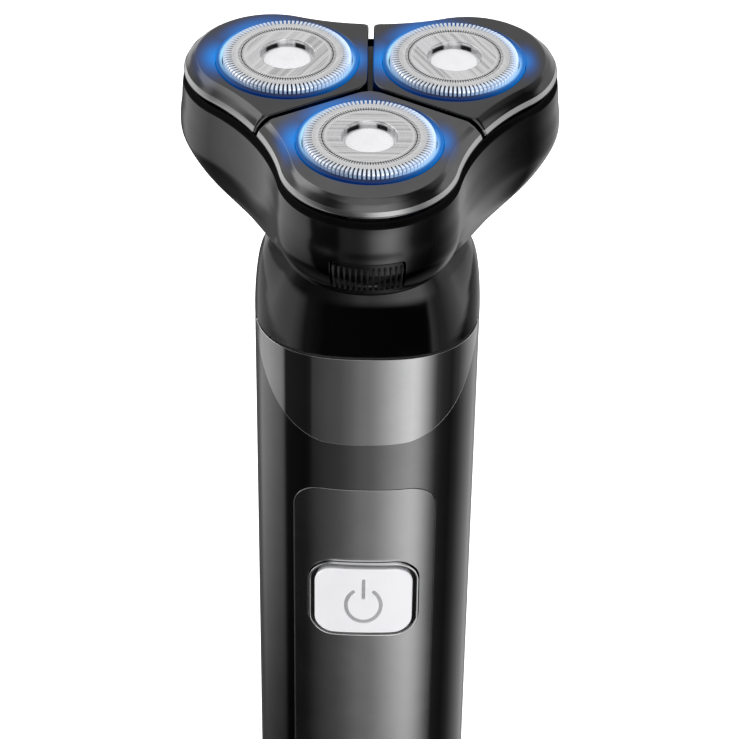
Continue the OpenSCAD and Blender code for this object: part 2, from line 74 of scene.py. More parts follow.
HALF_W, HALF_D = high("rear_shell")[:2]
SQUARENESS = 2.6                  # exponent of the handle's superellipse
BASE_TOP = low("rear_shell")[2]
SEAM_Z = high("rear_shell")[2]    # top of the shells
SHOULDER_Z = low("shoulder_dome")[2]
DOME_TOP = high("shoulder_dome")[2]
PANEL_LOW, PANEL_TOP = low("front_panel")[2], high("front_panel")[2]
PANEL_HALF = high("front_panel")[0]
PANEL_CORNER = 5.0
BADGE_H = 19.3
BADGE_LOW = SHOULDER_Z - BADGE_H  # where the badge plate's lower edge starts to rise
BEZEL_HALF = high("button_bezel")[0]
BEZEL_H = high("button_bezel")[2] - low("button_bezel")[2]
BUTTON_HALF = high("power_button")[0]
BUTTON_H = high("power_button")[2] - low("power_button")[2]
BUTTON_Z = (high("power_button")[2] + low("power_button")[2]) / 2
BUTTON_PROUD = -low("power_button")[1] - HALF_D
BUTTON_CORNER = 3.6
SPIGOT_R = 10.4

LOBE_C, LOBE_R = 19.6, 15.4       # centre and radius of a lobe's arc
SADDLE_C = 59.8                   # centre of the arc between two lobes
LOBE_APART = math.hypot(SADDLE_C * math.cos(math.pi / 3) - LOBE_C, SADDLE_C * math.sin(math.pi / 3))
SADDLE_R = LOBE_APART - LOBE_R
FOOT_Z, RIM_Z = low("hair_chamber")[2], high("hair_chamber")[2]
FOOT_R = 16.5
CHAMBER_T = 1.4
COLLAR_R = 11.6
CHAMBER_SHARE = np.array([[0, 0], [1, 0.16], [2.4, 0.36], [5, 0.58], [8, 0.785], [11, 0.928], [12.6, 0.985],
                          [14, 1.02], [17, 1.03], [20, 1.01], [22.5, 1], [24.7, 0.985]])
LATCH_LOW, LATCH_TOP = low("release_latch")[2], high("release_latch")[2]
LATCH_HALF = high("release_latch")[0]
LATCH_WAY = (0.0, 1.0, 0.0)       # the way the release latch is pressed

# In the photograph the foils, their rings and the petals stand a little prouder than in the CAD
FOIL_RISE = 0.45
PETAL_RISE = 0.25
PETAL_TOP = high("petal_front")[2] + PETAL_RISE
PETAL_LOW = RIM_Z + 1.2
PITCH_R = -(high("guard_cap_front")[1] + low("guard_cap_front")[1]) / 2
RING_OUT = (high("light_ring_front")[0] - low("light_ring_front")[0]) / 2
RING_LOW, RING_TOP = low("light_ring_front")[2], high("light_ring_front")[2] + FOIL_RISE
GUARD_R = 11.0
RECESS_R = high("guard_cap_front")[0]
FOIL_TOP = high("guard_front")[2] + FOIL_RISE
CAP_TOP = high("guard_cap_front")[2] + FOIL_RISE
GUARD_LOW = low("guard_front")[2]
STATIONS = {"front": -90, "right": 30, "left": 150}


# ---- mesh building ----

def unit(v):
    return v / np.maximum(np.linalg.norm(v, axis=-1, keepdims=True), 1e-12)


class Skin:
    """Points with their normals, and faces between them, in millimetres."""

    def __init__(self):
        self.points, self.normals, self.sheen_and_wear = [], [], []
        self.faces, self.slots = [], []
        self.count = 0

    def add(self, points, normals, sheen_and_wear=0.0):
        points = np.asarray(points, float).reshape(-1, 3)
        start = self.count
        self.points.append(points)
        self.normals.append(np.broadcast_to(np.asarray(normals, float), points.shape))
        self.sheen_and_wear.append(np.broadcast_to(np.asarray(sheen_and_wear, float), len(points)))
        self.count += len(points)
        return start

    def join(self, faces, slot=0):
        faces = np.asarray(faces, int)
        if len(faces):
            self.faces.append(faces)
            self.slots.append(slot)

    def loft(self, rings, normals, sheen_and_wear=0.0, closed=True, slot=0):
        """Quads between neighbouring rings; the edge mark (painted edge highlight and wear) is one number or
        one for each ring.
        """
        m, n = rings.shape[:2]
        sheen_and_wear_amount = np.repeat(np.broadcast_to(np.asarray(sheen_and_wear, float), m), n)
        start = self.add(rings, np.asarray(normals).reshape(-1, 3), sheen_and_wear_amount)
        i = np.arange(n if closed else n - 1)
        for j in range(m - 1):
            a, b = start + j * n, start + (j + 1) * n
            self.join(np.stack([a + i, a + (i + 1) % n, b + (i + 1) % n, b + i], 1), slot)

    def smooth(self, rings, sheen_and_wear=0.0, slot=0, inwards=False):
        """A loft whose normals are worked out from its own rings."""
        rings = np.array(rings)
        self.loft(rings, ring_normals(rings, inwards), sheen_and_wear, slot=slot)

    def build(self, name, materials, body, slot, *replaced):
        points, normals = np.concatenate(self.points), np.concatenate(self.normals)
        sheen_and_wear = np.concatenate(self.sheen_and_wear)
        welded, index = np.unique(np.round(points, 4), axis=0, return_inverse=True)
        index = index.ravel()
        faces, corners, slots = [], [], []
        for quads, slot_index in zip(self.faces, self.slots):
            p = points[quads]
            across = p[:, 2] - p[:, 0]
            along = (p[:, 3] if p.shape[1] == 4 else p[:, 2]) - p[:, 1]
            facing = (np.cross(across, along) * normals[quads].sum(1)).sum(1)
            quads = np.where(facing[:, None] < 0, quads[:, ::-1], quads)
            for quad, place in zip(quads.tolist(), index[quads].tolist()):
                kept = [k for k in range(len(place)) if place[k] != place[k - 1]]
                if len(kept) >= 3 and len({place[k] for k in kept}) == len(kept):
                    faces.append([place[k] for k in kept])
                    corners.extend(quad[k] for k in kept)
                    slots.append(slot_index)
        mesh = bpy.data.meshes.new(name)
        mesh.from_pydata((welded * MM).tolist(), [], faces)
        mesh.polygons.foreach_set("use_smooth", [True] * len(faces))
        mesh.polygons.foreach_set("material_index", slots)
        mesh.normals_split_custom_set(unit(normals[corners]).tolist())
        # Each point keeps its edge mark, which the materials turn into lighter edges: painted edge highlight
        # and wear.
        sheen_and_wear_amount = np.zeros(len(welded))
        np.maximum.at(sheen_and_wear_amount, index, sheen_and_wear)
        mesh.attributes.new("sheen_and_wear", "FLOAT", "POINT").data.foreach_set("value", sheen_and_wear_amount.astype(np.float32))
        for material in materials:
            mesh.materials.append(material)
        piece = bpy.data.objects.new(name, mesh)
        bpy.context.scene.collection.objects.link(piece)
        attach(piece, body)
        if replaced:
            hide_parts(*replaced)
        return piece


def ring_at(radius, a, z):
    """A level ring of points; radius and z may vary with the angle a."""
    return np.stack([radius * np.cos(a), radius * np.sin(a), np.full_like(a, z)], 1)


def ring_normals(rings, inwards=False):
    """Smooth normals of lofted rings, pointing away from the rings' own centre line."""
    along = np.roll(rings, -1, 1) - np.roll(rings, 1, 1)
    up = np.gradient(rings, axis=0)
    normals = unit(np.cross(along, up))
    outwards = (normals * (rings - rings.mean(1, keepdims=True))).sum()
    return normals * (-1 if (outwards < 0) != inwards else 1)


def eased(f, a, b, slope_a, slope_b):
    """The cubic from a to b, at share f of the way, with the slopes given at its ends."""
    return (a * (1 + 2 * f) * (1 - f) ** 2 + slope_a * f * (1 - f) ** 2
            + b * f * f * (3 - 2 * f) + slope_b * f * f * (f - 1))


def smooth_curve(knots, count):
    """count points along a smooth curve through the knots."""
    knots = np.asarray(knots, float)
    t = np.linspace(0, len(knots) - 1, count)
    i = np.clip(t.astype(int), 0, len(knots) - 2)
    slope = np.gradient(knots, axis=0)
    return eased((t - i)[:, None], knots[i], knots[i + 1], slope[i], slope[i + 1])


def smooth_lookup(x, table):
    """A smooth curve through the table's points, read at x."""
    xs, ys = table.T
    slope = np.gradient(ys, xs)
    i = np.clip(np.searchsorted(xs, x, side="right") - 1, 0, len(xs) - 2)
    h = xs[i + 1] - xs[i]
    return eased(np.clip((x - xs[i]) / h, 0, 1), ys[i], ys[i + 1], slope[i] * h, slope[i + 1] * h)


def arc(centre, radius, start, end, count=6):
    a = np.radians(np.linspace(start, end, count))
    return np.stack([centre[0] + radius * np.cos(a), centre[1] + radius * np.sin(a)], 1)


def spaced(a, b, step):
    """Points from a up to but not including b."""
    n = max(1, int(np.ceil(np.hypot(b[0] - a[0], b[1] - a[1]) / step)))
    t = np.linspace(0, 1, n, endpoint=False)[:, None]
    return np.asarray(a) * (1 - t) + np.asarray(b) * t


def polyline(corners, step):
    """A closed loop through the corners, with points no further apart than step."""
    return np.concatenate([spaced(corners[i], corners[(i + 1) % len(corners)], step)
                           for i in range(len(corners))])


def rounded(half_w, z0, z1, corner, step=0.8, arc_points=13):
    """A rounded rectangle, anticlockwise."""
    w = half_w - corner
    centres = ((w, z0 + corner), (w, z1 - corner), (-w, z1 - corner), (-w, z0 + corner))
    ends = [arc(centre, corner, 90 * i - 90, 90 * i, arc_points) for i, centre in enumerate(centres)]
    loop = []
    for i, end in enumerate(ends):
        loop += [end[:-1], spaced(end[-1], ends[(i + 1) % 4][0], step)]
    return np.concatenate(loop)


def mitres(loop):
    """At each point, how far an anticlockwise loop moves when it grows by 1."""
    edge = unit(np.roll(loop, -1, 0) - loop)
    side = np.stack([edge[:, 1], -edge[:, 0]], 1)
    before = np.roll(side, 1, 0)
    return (side + before) / np.maximum(1 + (side * before).sum(1, keepdims=True), 0.4)


def moved(loop, grow):
    return loop + mitres(loop) * grow


def inside(points, loop):
    """Which points lie inside the loop."""
    x, y = points[:, :1], points[:, 1:]
    ax, ay = loop[:, 0][None], loop[:, 1][None]
    bx, by = np.roll(ax, -1, 1), np.roll(ay, -1, 1)
    crosses = (ay > y) != (by > y)
    rise = np.where(by == ay, 1e-12, by - ay)
    return (crosses & (x < (bx - ax) * (y - ay) / rise + ax)).sum(1) % 2 == 1


def sheet(skin, surface, outer, holes=(), step=(1, 3), slot=0):
    """A skin over surface(u, v), inside outer and outside the holes."""
    loops = [outer, *holes]
    lo, hi = outer.min(0), outer.max(0)
    grid = np.stack(np.meshgrid(np.arange(lo[0] + step[0] / 2, hi[0], step[0]),
                                np.arange(lo[1] + step[1] / 2, hi[1], step[1])), -1).reshape(-1, 2)
    edge = np.concatenate(loops)
    keep = inside(grid, outer)
    for hole in holes:
        keep &= ~inside(grid, hole)
    grid = grid[keep]
    near = np.array([np.min(((edge - g) ** 2).sum(1)) for g in grid]) if len(grid) else np.zeros(0)
    grid = grid[near > (0.45 * min(step)) ** 2]
    lines, start = [], 0
    for loop in loops:
        n = len(loop)
        lines += [(start + i, start + (i + 1) % n) for i in range(n)]
        start += n
    flat = np.concatenate([edge, grid])
    found = delaunay_2d_cdt([Vector(p) for p in flat.tolist()], lines, [], 0, 1e-7)
    uv = np.array([tuple(v) for v in found[0]])
    faces = np.array([f for f in found[2] if len(f) == 3])
    middle = uv[faces].mean(1)
    keep = inside(middle, outer)
    for hole in holes:
        keep &= ~inside(middle, hole)
    first = skin.add(*surface(uv[:, 0], uv[:, 1]))
    skin.join(faces[keep] + first, slot)


def roll(skin, surface, loop, radius, wall, hole=False, slot=0, steps=5, sheen_and_wear=1.0, inward=None):
    """A rounded edge along a sheet's boundary, then a wall to a depth, along inward if that is given."""
    out = mitres(loop) * (-1 if hole else 1)
    tiny = 0.01
    at, _ = surface(loop[:, 0], loop[:, 1])
    ahead, _ = surface(loop[:, 0] + out[:, 0] * tiny, loop[:, 1] + out[:, 1] * tiny)
    side = unit(ahead - at)
    rings, normals = [], []
    for t in np.linspace(0, math.pi / 2, steps):
        reach = radius * math.sin(t)
        p, n = surface(loop[:, 0] + out[:, 0] * reach, loop[:, 1] + out[:, 1] * reach)
        rings.append(p - n * radius * (1 - math.cos(t)))
        normals.append(unit(n * math.cos(t) + side * math.sin(t)))
    rings.append(rings[-1] + (-n if inward is None else np.array(inward)) * (wall - radius))
    normals.append(normals[-1])
    sheen_and_wear_amount = [0.0] + [sheen_and_wear] * (steps - 1) + [0.0]
    skin.loft(np.array(rings), np.array(normals), sheen_and_wear_amount, slot=slot)


def plate(skin, surface, outline, holes=(), *, radius, wall, step, inward=None):
    """A sheet whose outline and holes have rounded edges."""
    outline, holes = moved(outline, -radius), [moved(hole, radius) for hole in holes]
    sheet(skin, surface, outline, holes, step)
    roll(skin, surface, outline, radius, wall, inward=inward)
    for hole in holes:
        roll(skin, surface, hole, radius, wall, hole=True, inward=inward)


def lathe(skin, where, profile, slot=0, sheen_and_wear=0.0):
    """A smooth band turned about the local Z axis and placed by where."""
    count = 192
    a = np.linspace(0, 2 * math.pi, count, endpoint=False)
    profile = np.asarray(profile, float)
    run = np.gradient(profile, axis=0)
    side = unit(np.stack([run[:, 1], -run[:, 0]], 1))
    rings, normals = (np.stack([flat[:, :1] * np.cos(a), flat[:, :1] * np.sin(a),
                                np.repeat(flat[:, 1:], count, 1)], -1) for flat in (profile, side))
    skin.loft(where(rings), where(normals, False), sheen_and_wear, slot=slot)


def level(z, up, where=lambda p, is_point=True: p):
    """A flat surface at height z, facing up (1) or down (-1), placed by where."""
    def surface(u, v):
        n = np.zeros((len(u), 3))
        n[:, 2] = up
        return where(np.stack([u, v, np.full_like(u, z)], 1)), n
    return surface


def lobe_frame(direction, out=0.0):
    """Places local points with local +X along a lobe, moved out along it."""
    c, s = math.cos(math.radians(direction)), math.sin(math.radians(direction))
    turn = np.array([[c, s, 0], [-s, c, 0], [0, 0, 1]])

    def where(p, is_point=True):
        return np.asarray(p) @ turn + (np.array([c, s, 0]) * out if is_point else 0)
    return where


# ---- materials ----

class Shader:
    """A procedural node tree, of a new material or of the owner given."""

    def __init__(self, name, owner=None):
        self.owner = owner or bpy.data.materials.new(name)
        self.owner.use_nodes = True
        self.nodes, self.links = self.owner.node_tree.nodes, self.owner.node_tree.links
        self.bsdf = self.nodes.get("Principled BSDF")

    def node(self, kind, inputs=(), **settings):
        made = self.nodes.new(kind)
        for key, value in settings.items():
            setattr(made, key, value)
        for key, value in dict(inputs).items():
            self.put(made.inputs[key], value)
        return made

    def put(self, socket, value):
        if isinstance(value, bpy.types.NodeSocket):
            self.links.new(value, socket)
        else:
            socket.default_value = value

    def surface(self, inputs):
        """Sets or links the shader's own sockets, and returns the material."""
        for name, value in inputs.items():
            self.put(self.bsdf.inputs[name], value)
        return self.owner

    def math(self, operation, a, b=0.0, clamp=False):
        return self.node("ShaderNodeMath", {0: a, 1: b}, operation=operation, use_clamp=clamp).outputs[0]

    def times(self, first, *rest):
        for value in rest:
            first = self.math("MULTIPLY", first, value)
        return first

    def most(self, a, b):
        return self.math("MAXIMUM", a, b)

    def span(self, value, low_in, high_in, low_out=0.0, high_out=1.0):
        """A smooth step from low_out to high_out."""
        ends = {0: value, 1: low_in, 2: high_in, 3: low_out, 4: high_out}
        return self.node("ShaderNodeMapRange", ends, interpolation_type="SMOOTHSTEP").outputs[0]

    def mix(self, share, a, b, blend="MIX"):
        made = self.node("ShaderNodeMix", data_type="RGBA", blend_type=blend)
        a, b = (grey(end) if isinstance(end, (int, float)) else end for end in (a, b))
        for index, value in ((0, share), (6, a), (7, b)):
            self.put(made.inputs[index], value)
        return made.outputs[2]

    def place(self, centre=(0, 0, 0), scale=(1, 1, 1)):
        """Object coordinates in millimetres, from a centre."""
        coords = self.node("ShaderNodeTexCoord").outputs["Object"]
        shift = tuple(-c * k for c, k in zip(centre, scale))
        size = tuple(k / MM for k in scale)
        return self.node("ShaderNodeMapping", {"Vector": coords, "Location": shift, "Scale": size}).outputs[0]

    def vector(self, x, y, z):
        return self.node("ShaderNodeCombineXYZ", {0: x, 1: y, 2: z}).outputs[0]

    def split(self, vector):
        return self.node("ShaderNodeSeparateXYZ", {0: vector}).outputs

    def noise(self, vector, scale, detail=3.0, rough=0.6):
        inputs = {"Vector": vector, "Scale": scale, "Detail": detail, "Roughness": rough}
        return self.node("ShaderNodeTexNoise", inputs).outputs[0]

    def bump(self, height, strength, distance=0.05):
        inputs = {"Strength": strength, "Distance": distance * MM, "Height": height}
        self.put(self.bsdf.inputs["Normal"], self.node("ShaderNodeBump", inputs).outputs[0])

    # The mesh's edge mark, which lightens edges: painted edge highlight and wear.
    def sheen_and_wear(self):
        return self.node("ShaderNodeAttribute", attribute_name="sheen_and_wear").outputs["Fac"]


def grey(value):
    return (value, value, value * 1.01, 1)


def tinted(colour, share, lift=0.0):
    """A colour made darker or lighter by a share of itself."""
    return tuple(min(1, c * share + lift) for c in colour[:3]) + (1,)


def finish(name, colour, metallic=0.0, roughness=0.3, varied=0.1, grain=(6.0, 0.1), coat=0.0, sheen_and_wear_amount=0.25,
           smudge=0.04, stretch=(1, 1, 1), extra=None, specular=0.5):
    """A material with mottled colour, uneven roughness, a fine grain and lighter edges, which are painted
    edge highlights and wear in one.
    """
    s = Shader(name)
    cloud = s.noise(s.place(), 0.12, 4.0)
    fine = s.noise(s.place(scale=stretch), grain[0], 4.0)
    tone = s.mix(s.span(cloud, 0.3, 0.7), tinted(colour, 1 - varied), tinted(colour, 1 + varied))
    # Lighter edges: painted edge highlights and wear, where the mesh marks its rounded edges.
    edge = s.times(s.sheen_and_wear(), s.span(fine, 0.35, 0.7, 0.35, 1.0))
    tone = s.mix(s.times(edge, sheen_and_wear_amount), tone, tinted(colour, 2, 0.05))
    uneven = s.math("ADD", s.span(cloud, 0.3, 0.75, -smudge, smudge), roughness)
    uneven = s.math("ADD", uneven, s.span(fine, 0.3, 0.7, -smudge / 2, smudge / 2), clamp=True)
    s.bump(fine, grain[1])
    made = s.surface({"Base Color": tone, "Roughness": uneven, "Metallic": metallic, "Coat Weight": coat,
                      "Coat Roughness": 0.05, "Specular IOR Level": specular})
    if extra:
        extra(s, tone)
    return made


def about(s, centre_x, centre_y):
    """Height, radius, angle (in turns, from +X) and x and y about a station's axis, in millimetres."""
    x, y, z = s.split(s.place((centre_x, centre_y, 0)))
    radius = s.math("SQRT", s.math("ADD", s.math("POWER", x, 2), s.math("POWER", y, 2)))
    angle = s.math("DIVIDE", s.math("ARCTAN2", y, x), 2 * math.pi)
    return z, radius, angle, (x, y)


def lobe_of(s, angle, centre, width):
    """1 in direction centre (degrees), falling smoothly to 0 at width degrees from it."""
    away = s.math("WRAP", s.math("SUBTRACT", angle, centre / 360), 0.5)
    s.put(away.node.inputs[2], -0.5)
    return s.span(s.math("ABSOLUTE", away), 0.0, width / 360, 1.0, 0.0)


def painted_glow_round(centre_x, centre_y):
    """Painted blue glow on a petal to both sides of its lit ring: the petal's own emission stands in for the
    ring's spilled light.
    """
    start = 12.3                  # where the painted glow is brightest, just inside the ring's outer edge

    def extra(s, tone):
        z, radius, angle, _ = about(s, centre_x, centre_y)
        left = s.times(lobe_of(s, angle, 178, 42), s.span(radius, start, 17.0, 1.0, 0.0))
        right = s.times(lobe_of(s, angle, 2, 34), s.span(radius, start, 15.4, 1.0, 0.0))
        back = s.times(lobe_of(s, angle, 125, 60), s.span(radius, start, 16.0, 1.0, 0.0))
        front = s.times(lobe_of(s, angle, -90, 110), s.span(radius, 12.2, 13.4, 0.12, 0.0))
        lit = s.most(s.most(left, s.times(right, 0.8)), s.most(s.times(back, 0.75), front))
        lit = s.times(lit, s.span(z, PETAL_TOP - 1.6, PETAL_TOP - 0.5))
        # Where the painted glow lies, the petal's colour is darkened towards blue and the petal gives off
        # blue light itself.
        s.surface({"Base Color": s.mix(s.times(lit, 0.85), tone, (0.01, 0.02, 0.05, 1)),
                   "Emission Color": s.mix(lit, (0.0, 0.07, 0.42, 1), (0.01, 0.26, 0.85, 1)),
                   "Emission Strength": s.times(lit, 0.85)})
    return extra


def light_guide(name, centre_x, centre_y):
    """A lit ring, white-blue at the left and back, pale blue at the right and deep blue at the front."""
    s = Shader(name)
    z, radius, angle, _ = about(s, centre_x, centre_y)
    hot = s.most(lobe_of(s, angle, 165, 62), s.times(lobe_of(s, angle, -22, 46), 0.7))
    mid = s.most(lobe_of(s, angle, 150, 100), lobe_of(s, angle, -10, 75))
    inner = s.span(radius, GUARD_R + 0.2, GUARD_R + 1.2, 1.0, 0.7)
    hot = s.times(hot, s.span(radius, GUARD_R + 0.3, GUARD_R + 0.85, 1.0, 0.0))
    bright, white = (0.0, 0.2, 0.7, 1), (0.45, 0.78, 0.98, 1)
    deep = s.mix(s.span(radius, GUARD_R + 0.7, GUARD_R + 1.1), (0.0, 0.002, 0.02, 1), (0.0, 0.016, 0.1, 1))
    tone = s.mix(s.mix(1.0, mid, inner, "MULTIPLY"), deep, bright)
    tone = s.mix(s.times(inner, hot), tone, white)
    flicker = s.noise(s.place(), 1.4)
    strength = s.times(s.span(flicker, 0.3, 0.7, 0.93, 1.07), s.span(z, RING_TOP - 1.2, RING_TOP - 0.4))
    s.bump(flicker, 0.05)
    return s.surface({"Base Color": (0.001, 0.004, 0.02, 1), "Specular IOR Level": 0.2,
                      "Roughness": s.span(flicker, 0.3, 0.7, 0.18, 0.3),
                      "Emission Color": tone, "Emission Strength": strength})


def foil_metal(name, centre_x, centre_y, direction):
    """Ground steel with fine turned rings, painted reflection streaks in the middle, painted dark reflections
    on the recess wall and a painted blue glow on its rim.
    """
    s = Shader(name)
    z, radius, angle, (x, y) = about(s, centre_x, centre_y)
    turned = s.noise(s.vector(s.times(radius, 8.0), s.times(angle, 5.0), z), 1.0, 4.0)
    ahead = math.radians(direction)
    along = s.math("ADD", s.times(x, math.cos(ahead)), s.times(y, math.sin(ahead)))
    # Painted reflection: straight light streaks across the foil's middle.
    painted_reflection_streak = s.noise(s.vector(along, 0.0, centre_x), 1.15, 2.5, 0.7)
    middle = s.span(radius, 6.9, 7.3, 1.0, 0.25)
    tone = s.mix(s.times(s.span(painted_reflection_streak, 0.4, 0.6), middle), grey(0.74), grey(0.42))
    tone = s.mix(s.span(turned, 0.3, 0.7, 0.0, 0.3), tone, grey(0.86))
    comb_lines = 180
    teeth = s.span(s.math("SINE", s.times(angle, 2 * math.pi * comb_lines)), -0.5, 0.5)
    comb = s.times(s.span(radius, 8.6, 9.2), s.span(radius, 9.4, 9.7, 1.0, 0.0), teeth)
    tone = s.mix(s.times(comb, 0.3), tone, grey(0.3))
    # Painted dark reflections on the recess wall, in two fixed directions.
    sunk = s.times(s.span(radius, RECESS_R - 0.1, RECESS_R + 0.1, 1.0, 0.0),
                   s.span(z, FOIL_TOP - 0.75, FOIL_TOP - 0.3, 1.0, 0.0))
    painted_dark_reflections = s.most(lobe_of(s, angle, 128, 26), lobe_of(s, angle, 62, 20))
    tone = s.mix(s.times(s.span(painted_dark_reflections, 0.1, 0.5), sunk), tone, grey(0.02))
    # Painted blue glow on the rim, strongest towards the sides.
    rim = s.span(radius, 9.2, 10.9)
    side = s.most(lobe_of(s, angle, 20, 75), s.times(lobe_of(s, angle, -60, 70), 0.8))
    s.bump(turned, 0.1, 0.02)
    return s.surface({"Base Color": tone, "Metallic": 0.85, "Roughness": s.span(turned, 0.25, 0.75, 0.2, 0.3),
                      "Emission Color": (0.45, 0.66, 1.0, 1),
                      "Emission Strength": s.math("ADD", s.times(rim, side, 0.4), s.times(rim, 0.22))})


def slot_painted_shade(name, centre_x, centre_y):
    """Painted shade for the inside of a guard's slots, with a little painted blue glow in it near the rim."""
    s = Shader(name)
    _, radius, angle, _ = about(s, centre_x, centre_y)
    rim = s.span(radius, 9.7, 10.7)
    side = s.most(lobe_of(s, angle, 10, 90), 0.3)
    speckle = s.noise(s.place(), 2.0)
    s.bump(speckle, 0.1)
    return s.surface({"Base Color": s.mix(s.span(speckle, 0.3, 0.7), grey(0.015), grey(0.04)),
                      "Metallic": 0.5, "Roughness": s.span(speckle, 0.3, 0.7, 0.35, 0.5),
                      "Emission Color": (0.004, 0.05, 0.42, 1), "Emission Strength": s.times(rim, side, 0.2)})


def front_shade(s, tone):
    """The bowl's front lobe darkens towards its foot."""
    _, y, z = s.split(s.place())
    painted_shade = s.mix(s.span(y, -26.0, -14.0), s.span(z, RIM_Z - 13, RIM_Z - 3, 0.22, 1.0), 1.0)
    s.surface({"Base Color": s.mix(1.0, tone, painted_shade, "MULTIPLY")})


SHELL = finish("shell_gloss", grey(0.27), 1.0, 0.13, 0.04, (9.0, 0.02), smudge=0.012, sheen_and_wear_amount=0.02)
BADGE = finish("badge_gloss", grey(0.58), 1.0, 0.05, 0.03, (9.0, 0.01), smudge=0.015)
PANEL = finish("panel_satin", grey(0.54), 1.0, 0.22, 0.04, (14.0, 0.02), smudge=0.012, sheen_and_wear_amount=0.0)
PIANO = finish("piano_black", grey(0.0008), 0.0, 0.06, 0.2, (5.0, 0.01), sheen_and_wear_amount=0.05)
BOWL = finish("bowl_black", grey(0.145), 1.0, 0.13, 0.06, (12.0, 0.012), sheen_and_wear_amount=0.05, smudge=0.02,
              extra=front_shade)
# Painted shade: a near-black that barely reflects, for the bowl's lip and the step in the gap under the
# petals.
GAP_SHADE = finish("gap_painted_shade", grey(0.003), 0.0, 0.7, 0.3, (8.0, 0.1), sheen_and_wear_amount=0.0, specular=0.05)
RIB = finish("rib_black", grey(0.06), 0.9, 0.3, 0.2, (14.0, 0.15), sheen_and_wear_amount=0.1)
CHROME = finish("chrome_trim", grey(0.78), 1.0, 0.09, 0.04, (12.0, 0.03))
BUTTON = finish("button_silver", grey(0.8), 0.3, 0.38, 0.015, (18.0, 0.04), sheen_and_wear_amount=0.05)
ICON = finish("icon_floor", grey(0.55), 0.6, 0.3, 0.05, (18.0, 0.1))
RIM = finish("petal_rim", grey(0.33), 1.0, 0.24, 0.06, (12.0, 0.05), sheen_and_wear_amount=0.1)
# Painted shade: the near-black wall and floor of the well round the power button.
WELL_SHADE = finish("well_painted_shade", grey(0.01), 0.0, 0.6, 0.2, (8.0, 0.1))
STRUCTURE = finish("moulded_black", grey(0.045), 0.0, 0.45, 0.12, (10.0, 0.2))
ACETAL = finish("acetal", (0.82, 0.8, 0.74), 0.0, 0.38, 0.04, (9.0, 0.12))
STEEL = finish("drawn_steel", grey(0.6), 1.0, 0.3, 0.08, (8.0, 0.1), stretch=(1, 1, 0.1))
RUBBER = finish("seal_rubber", grey(0.02), 0.0, 0.75, 0.15, (10.0, 0.3))
CELL = finish("cell_wrap", (0.06, 0.16, 0.36), 0.0, 0.32, 0.06, (7.0, 0.1))
NICKEL = finish("nickel", (0.68, 0.66, 0.6), 1.0, 0.32, 0.06, (12.0, 0.1), stretch=(0.2, 1, 1))
BOARD = finish("solder_mask", (0.015, 0.13, 0.05), 0.0, 0.35, 0.15, (6.0, 0.1), coat=0.3)
BLACK_PART = finish("switch_black", grey(0.03), 0.0, 0.4, 0.1, (12.0, 0.15))
LEAD = finish("red_lead", (0.5, 0.03, 0.03), 0.0, 0.42, 0.06, (9.0, 0.12))

CAD_FINISH = {
    "structure": STRUCTURE, "acetal": ACETAL, "seal_rubber": RUBBER, "nickel": NICKEL, "cell_wrap": CELL,
    "board": BOARD, "switch_black": BLACK_PART, "lead_red": LEAD, "spring_steel": STEEL,
    "motor_steel": STEEL, "blade_steel": STEEL, "foil_steel": STEEL, "cap_steel": CHROME,
    "chrome_trim": CHROME, "light_guide": ACETAL, "gunmetal": PANEL, "satin_panel": PANEL,
    "satin_black": BOWL, "silver_button": BUTTON, "piano_black": PIANO, "gloss_badge": BADGE,
    "gloss_graphite": SHELL,
}
for part in frame["record"]["subparts"]:
    node = NODES[part["node"]]
    node.data.materials.clear()
    node.data.materials.append(CAD_FINISH[part["material_slot"]])


# ---- handle ----

def squarish_r(a, half_w, half_d):
    """Radius of the handle's outline, a superellipse, in direction a (radians)."""
    return ((np.abs(np.cos(a)) / half_w) ** SQUARENESS
            + (np.abs(np.sin(a)) / half_d) ** SQUARENESS) ** (-1 / SQUARENESS)


def wall(grow=0.0):
    """The handle's side wall, grown outwards: u is the arc length from the front's middle, v the height."""
    w, d = HALF_W + grow, HALF_D + grow
    a = np.radians(np.linspace(-270, 90, 14401))
    r = squarish_r(a, w, d)
    xs, ys = r * np.cos(a), r * np.sin(a)
    length = np.concatenate([[0], np.cumsum(np.hypot(np.diff(xs), np.diff(ys)))])
    length -= length[len(length) // 2]

    def surface(u, v):
        x, y = np.interp(u, length, xs), np.interp(u, length, ys)
        nx = np.sign(x) * np.abs(x / w) ** (SQUARENESS - 1) / w
        ny = np.sign(y) * np.abs(y / d) ** (SQUARENESS - 1) / d
        normal = unit(np.stack([nx, ny, np.zeros_like(nx)], 1))
        return np.stack([x, y, v], 1), normal

    front = (ys < 0) & (np.abs(np.degrees(a) + 90) < 90)
    surface.half_turn = np.interp(0, a, length)
    surface.arc = lambda x: np.interp(x, xs[front], length[front])
    surface.depth = lambda u: np.interp(u, length, ys)
    return surface


def on_wall(surface, loop):
    """A loop drawn in x and z, as arc length and z."""
    return np.stack([surface.arc(loop[:, 0]), loop[:, 1]], 1)


def badge_edge(u):
    """Height of the badge plate's lower edge at arc length u: it dips at the front and rises to the sides."""
    y = SIDE.depth(u)
    dip, dip_depth, slant = 0.4, 0.6, 1.5
    start = -HALF_D + dip_depth
    rise = (SHOULDER_Z - BADGE_LOW) / (BADGE_H / slant - dip_depth)
    return np.where(y < start, BADGE_LOW - dip * (start - y) / dip_depth, BADGE_LOW + (y - start) * rise)


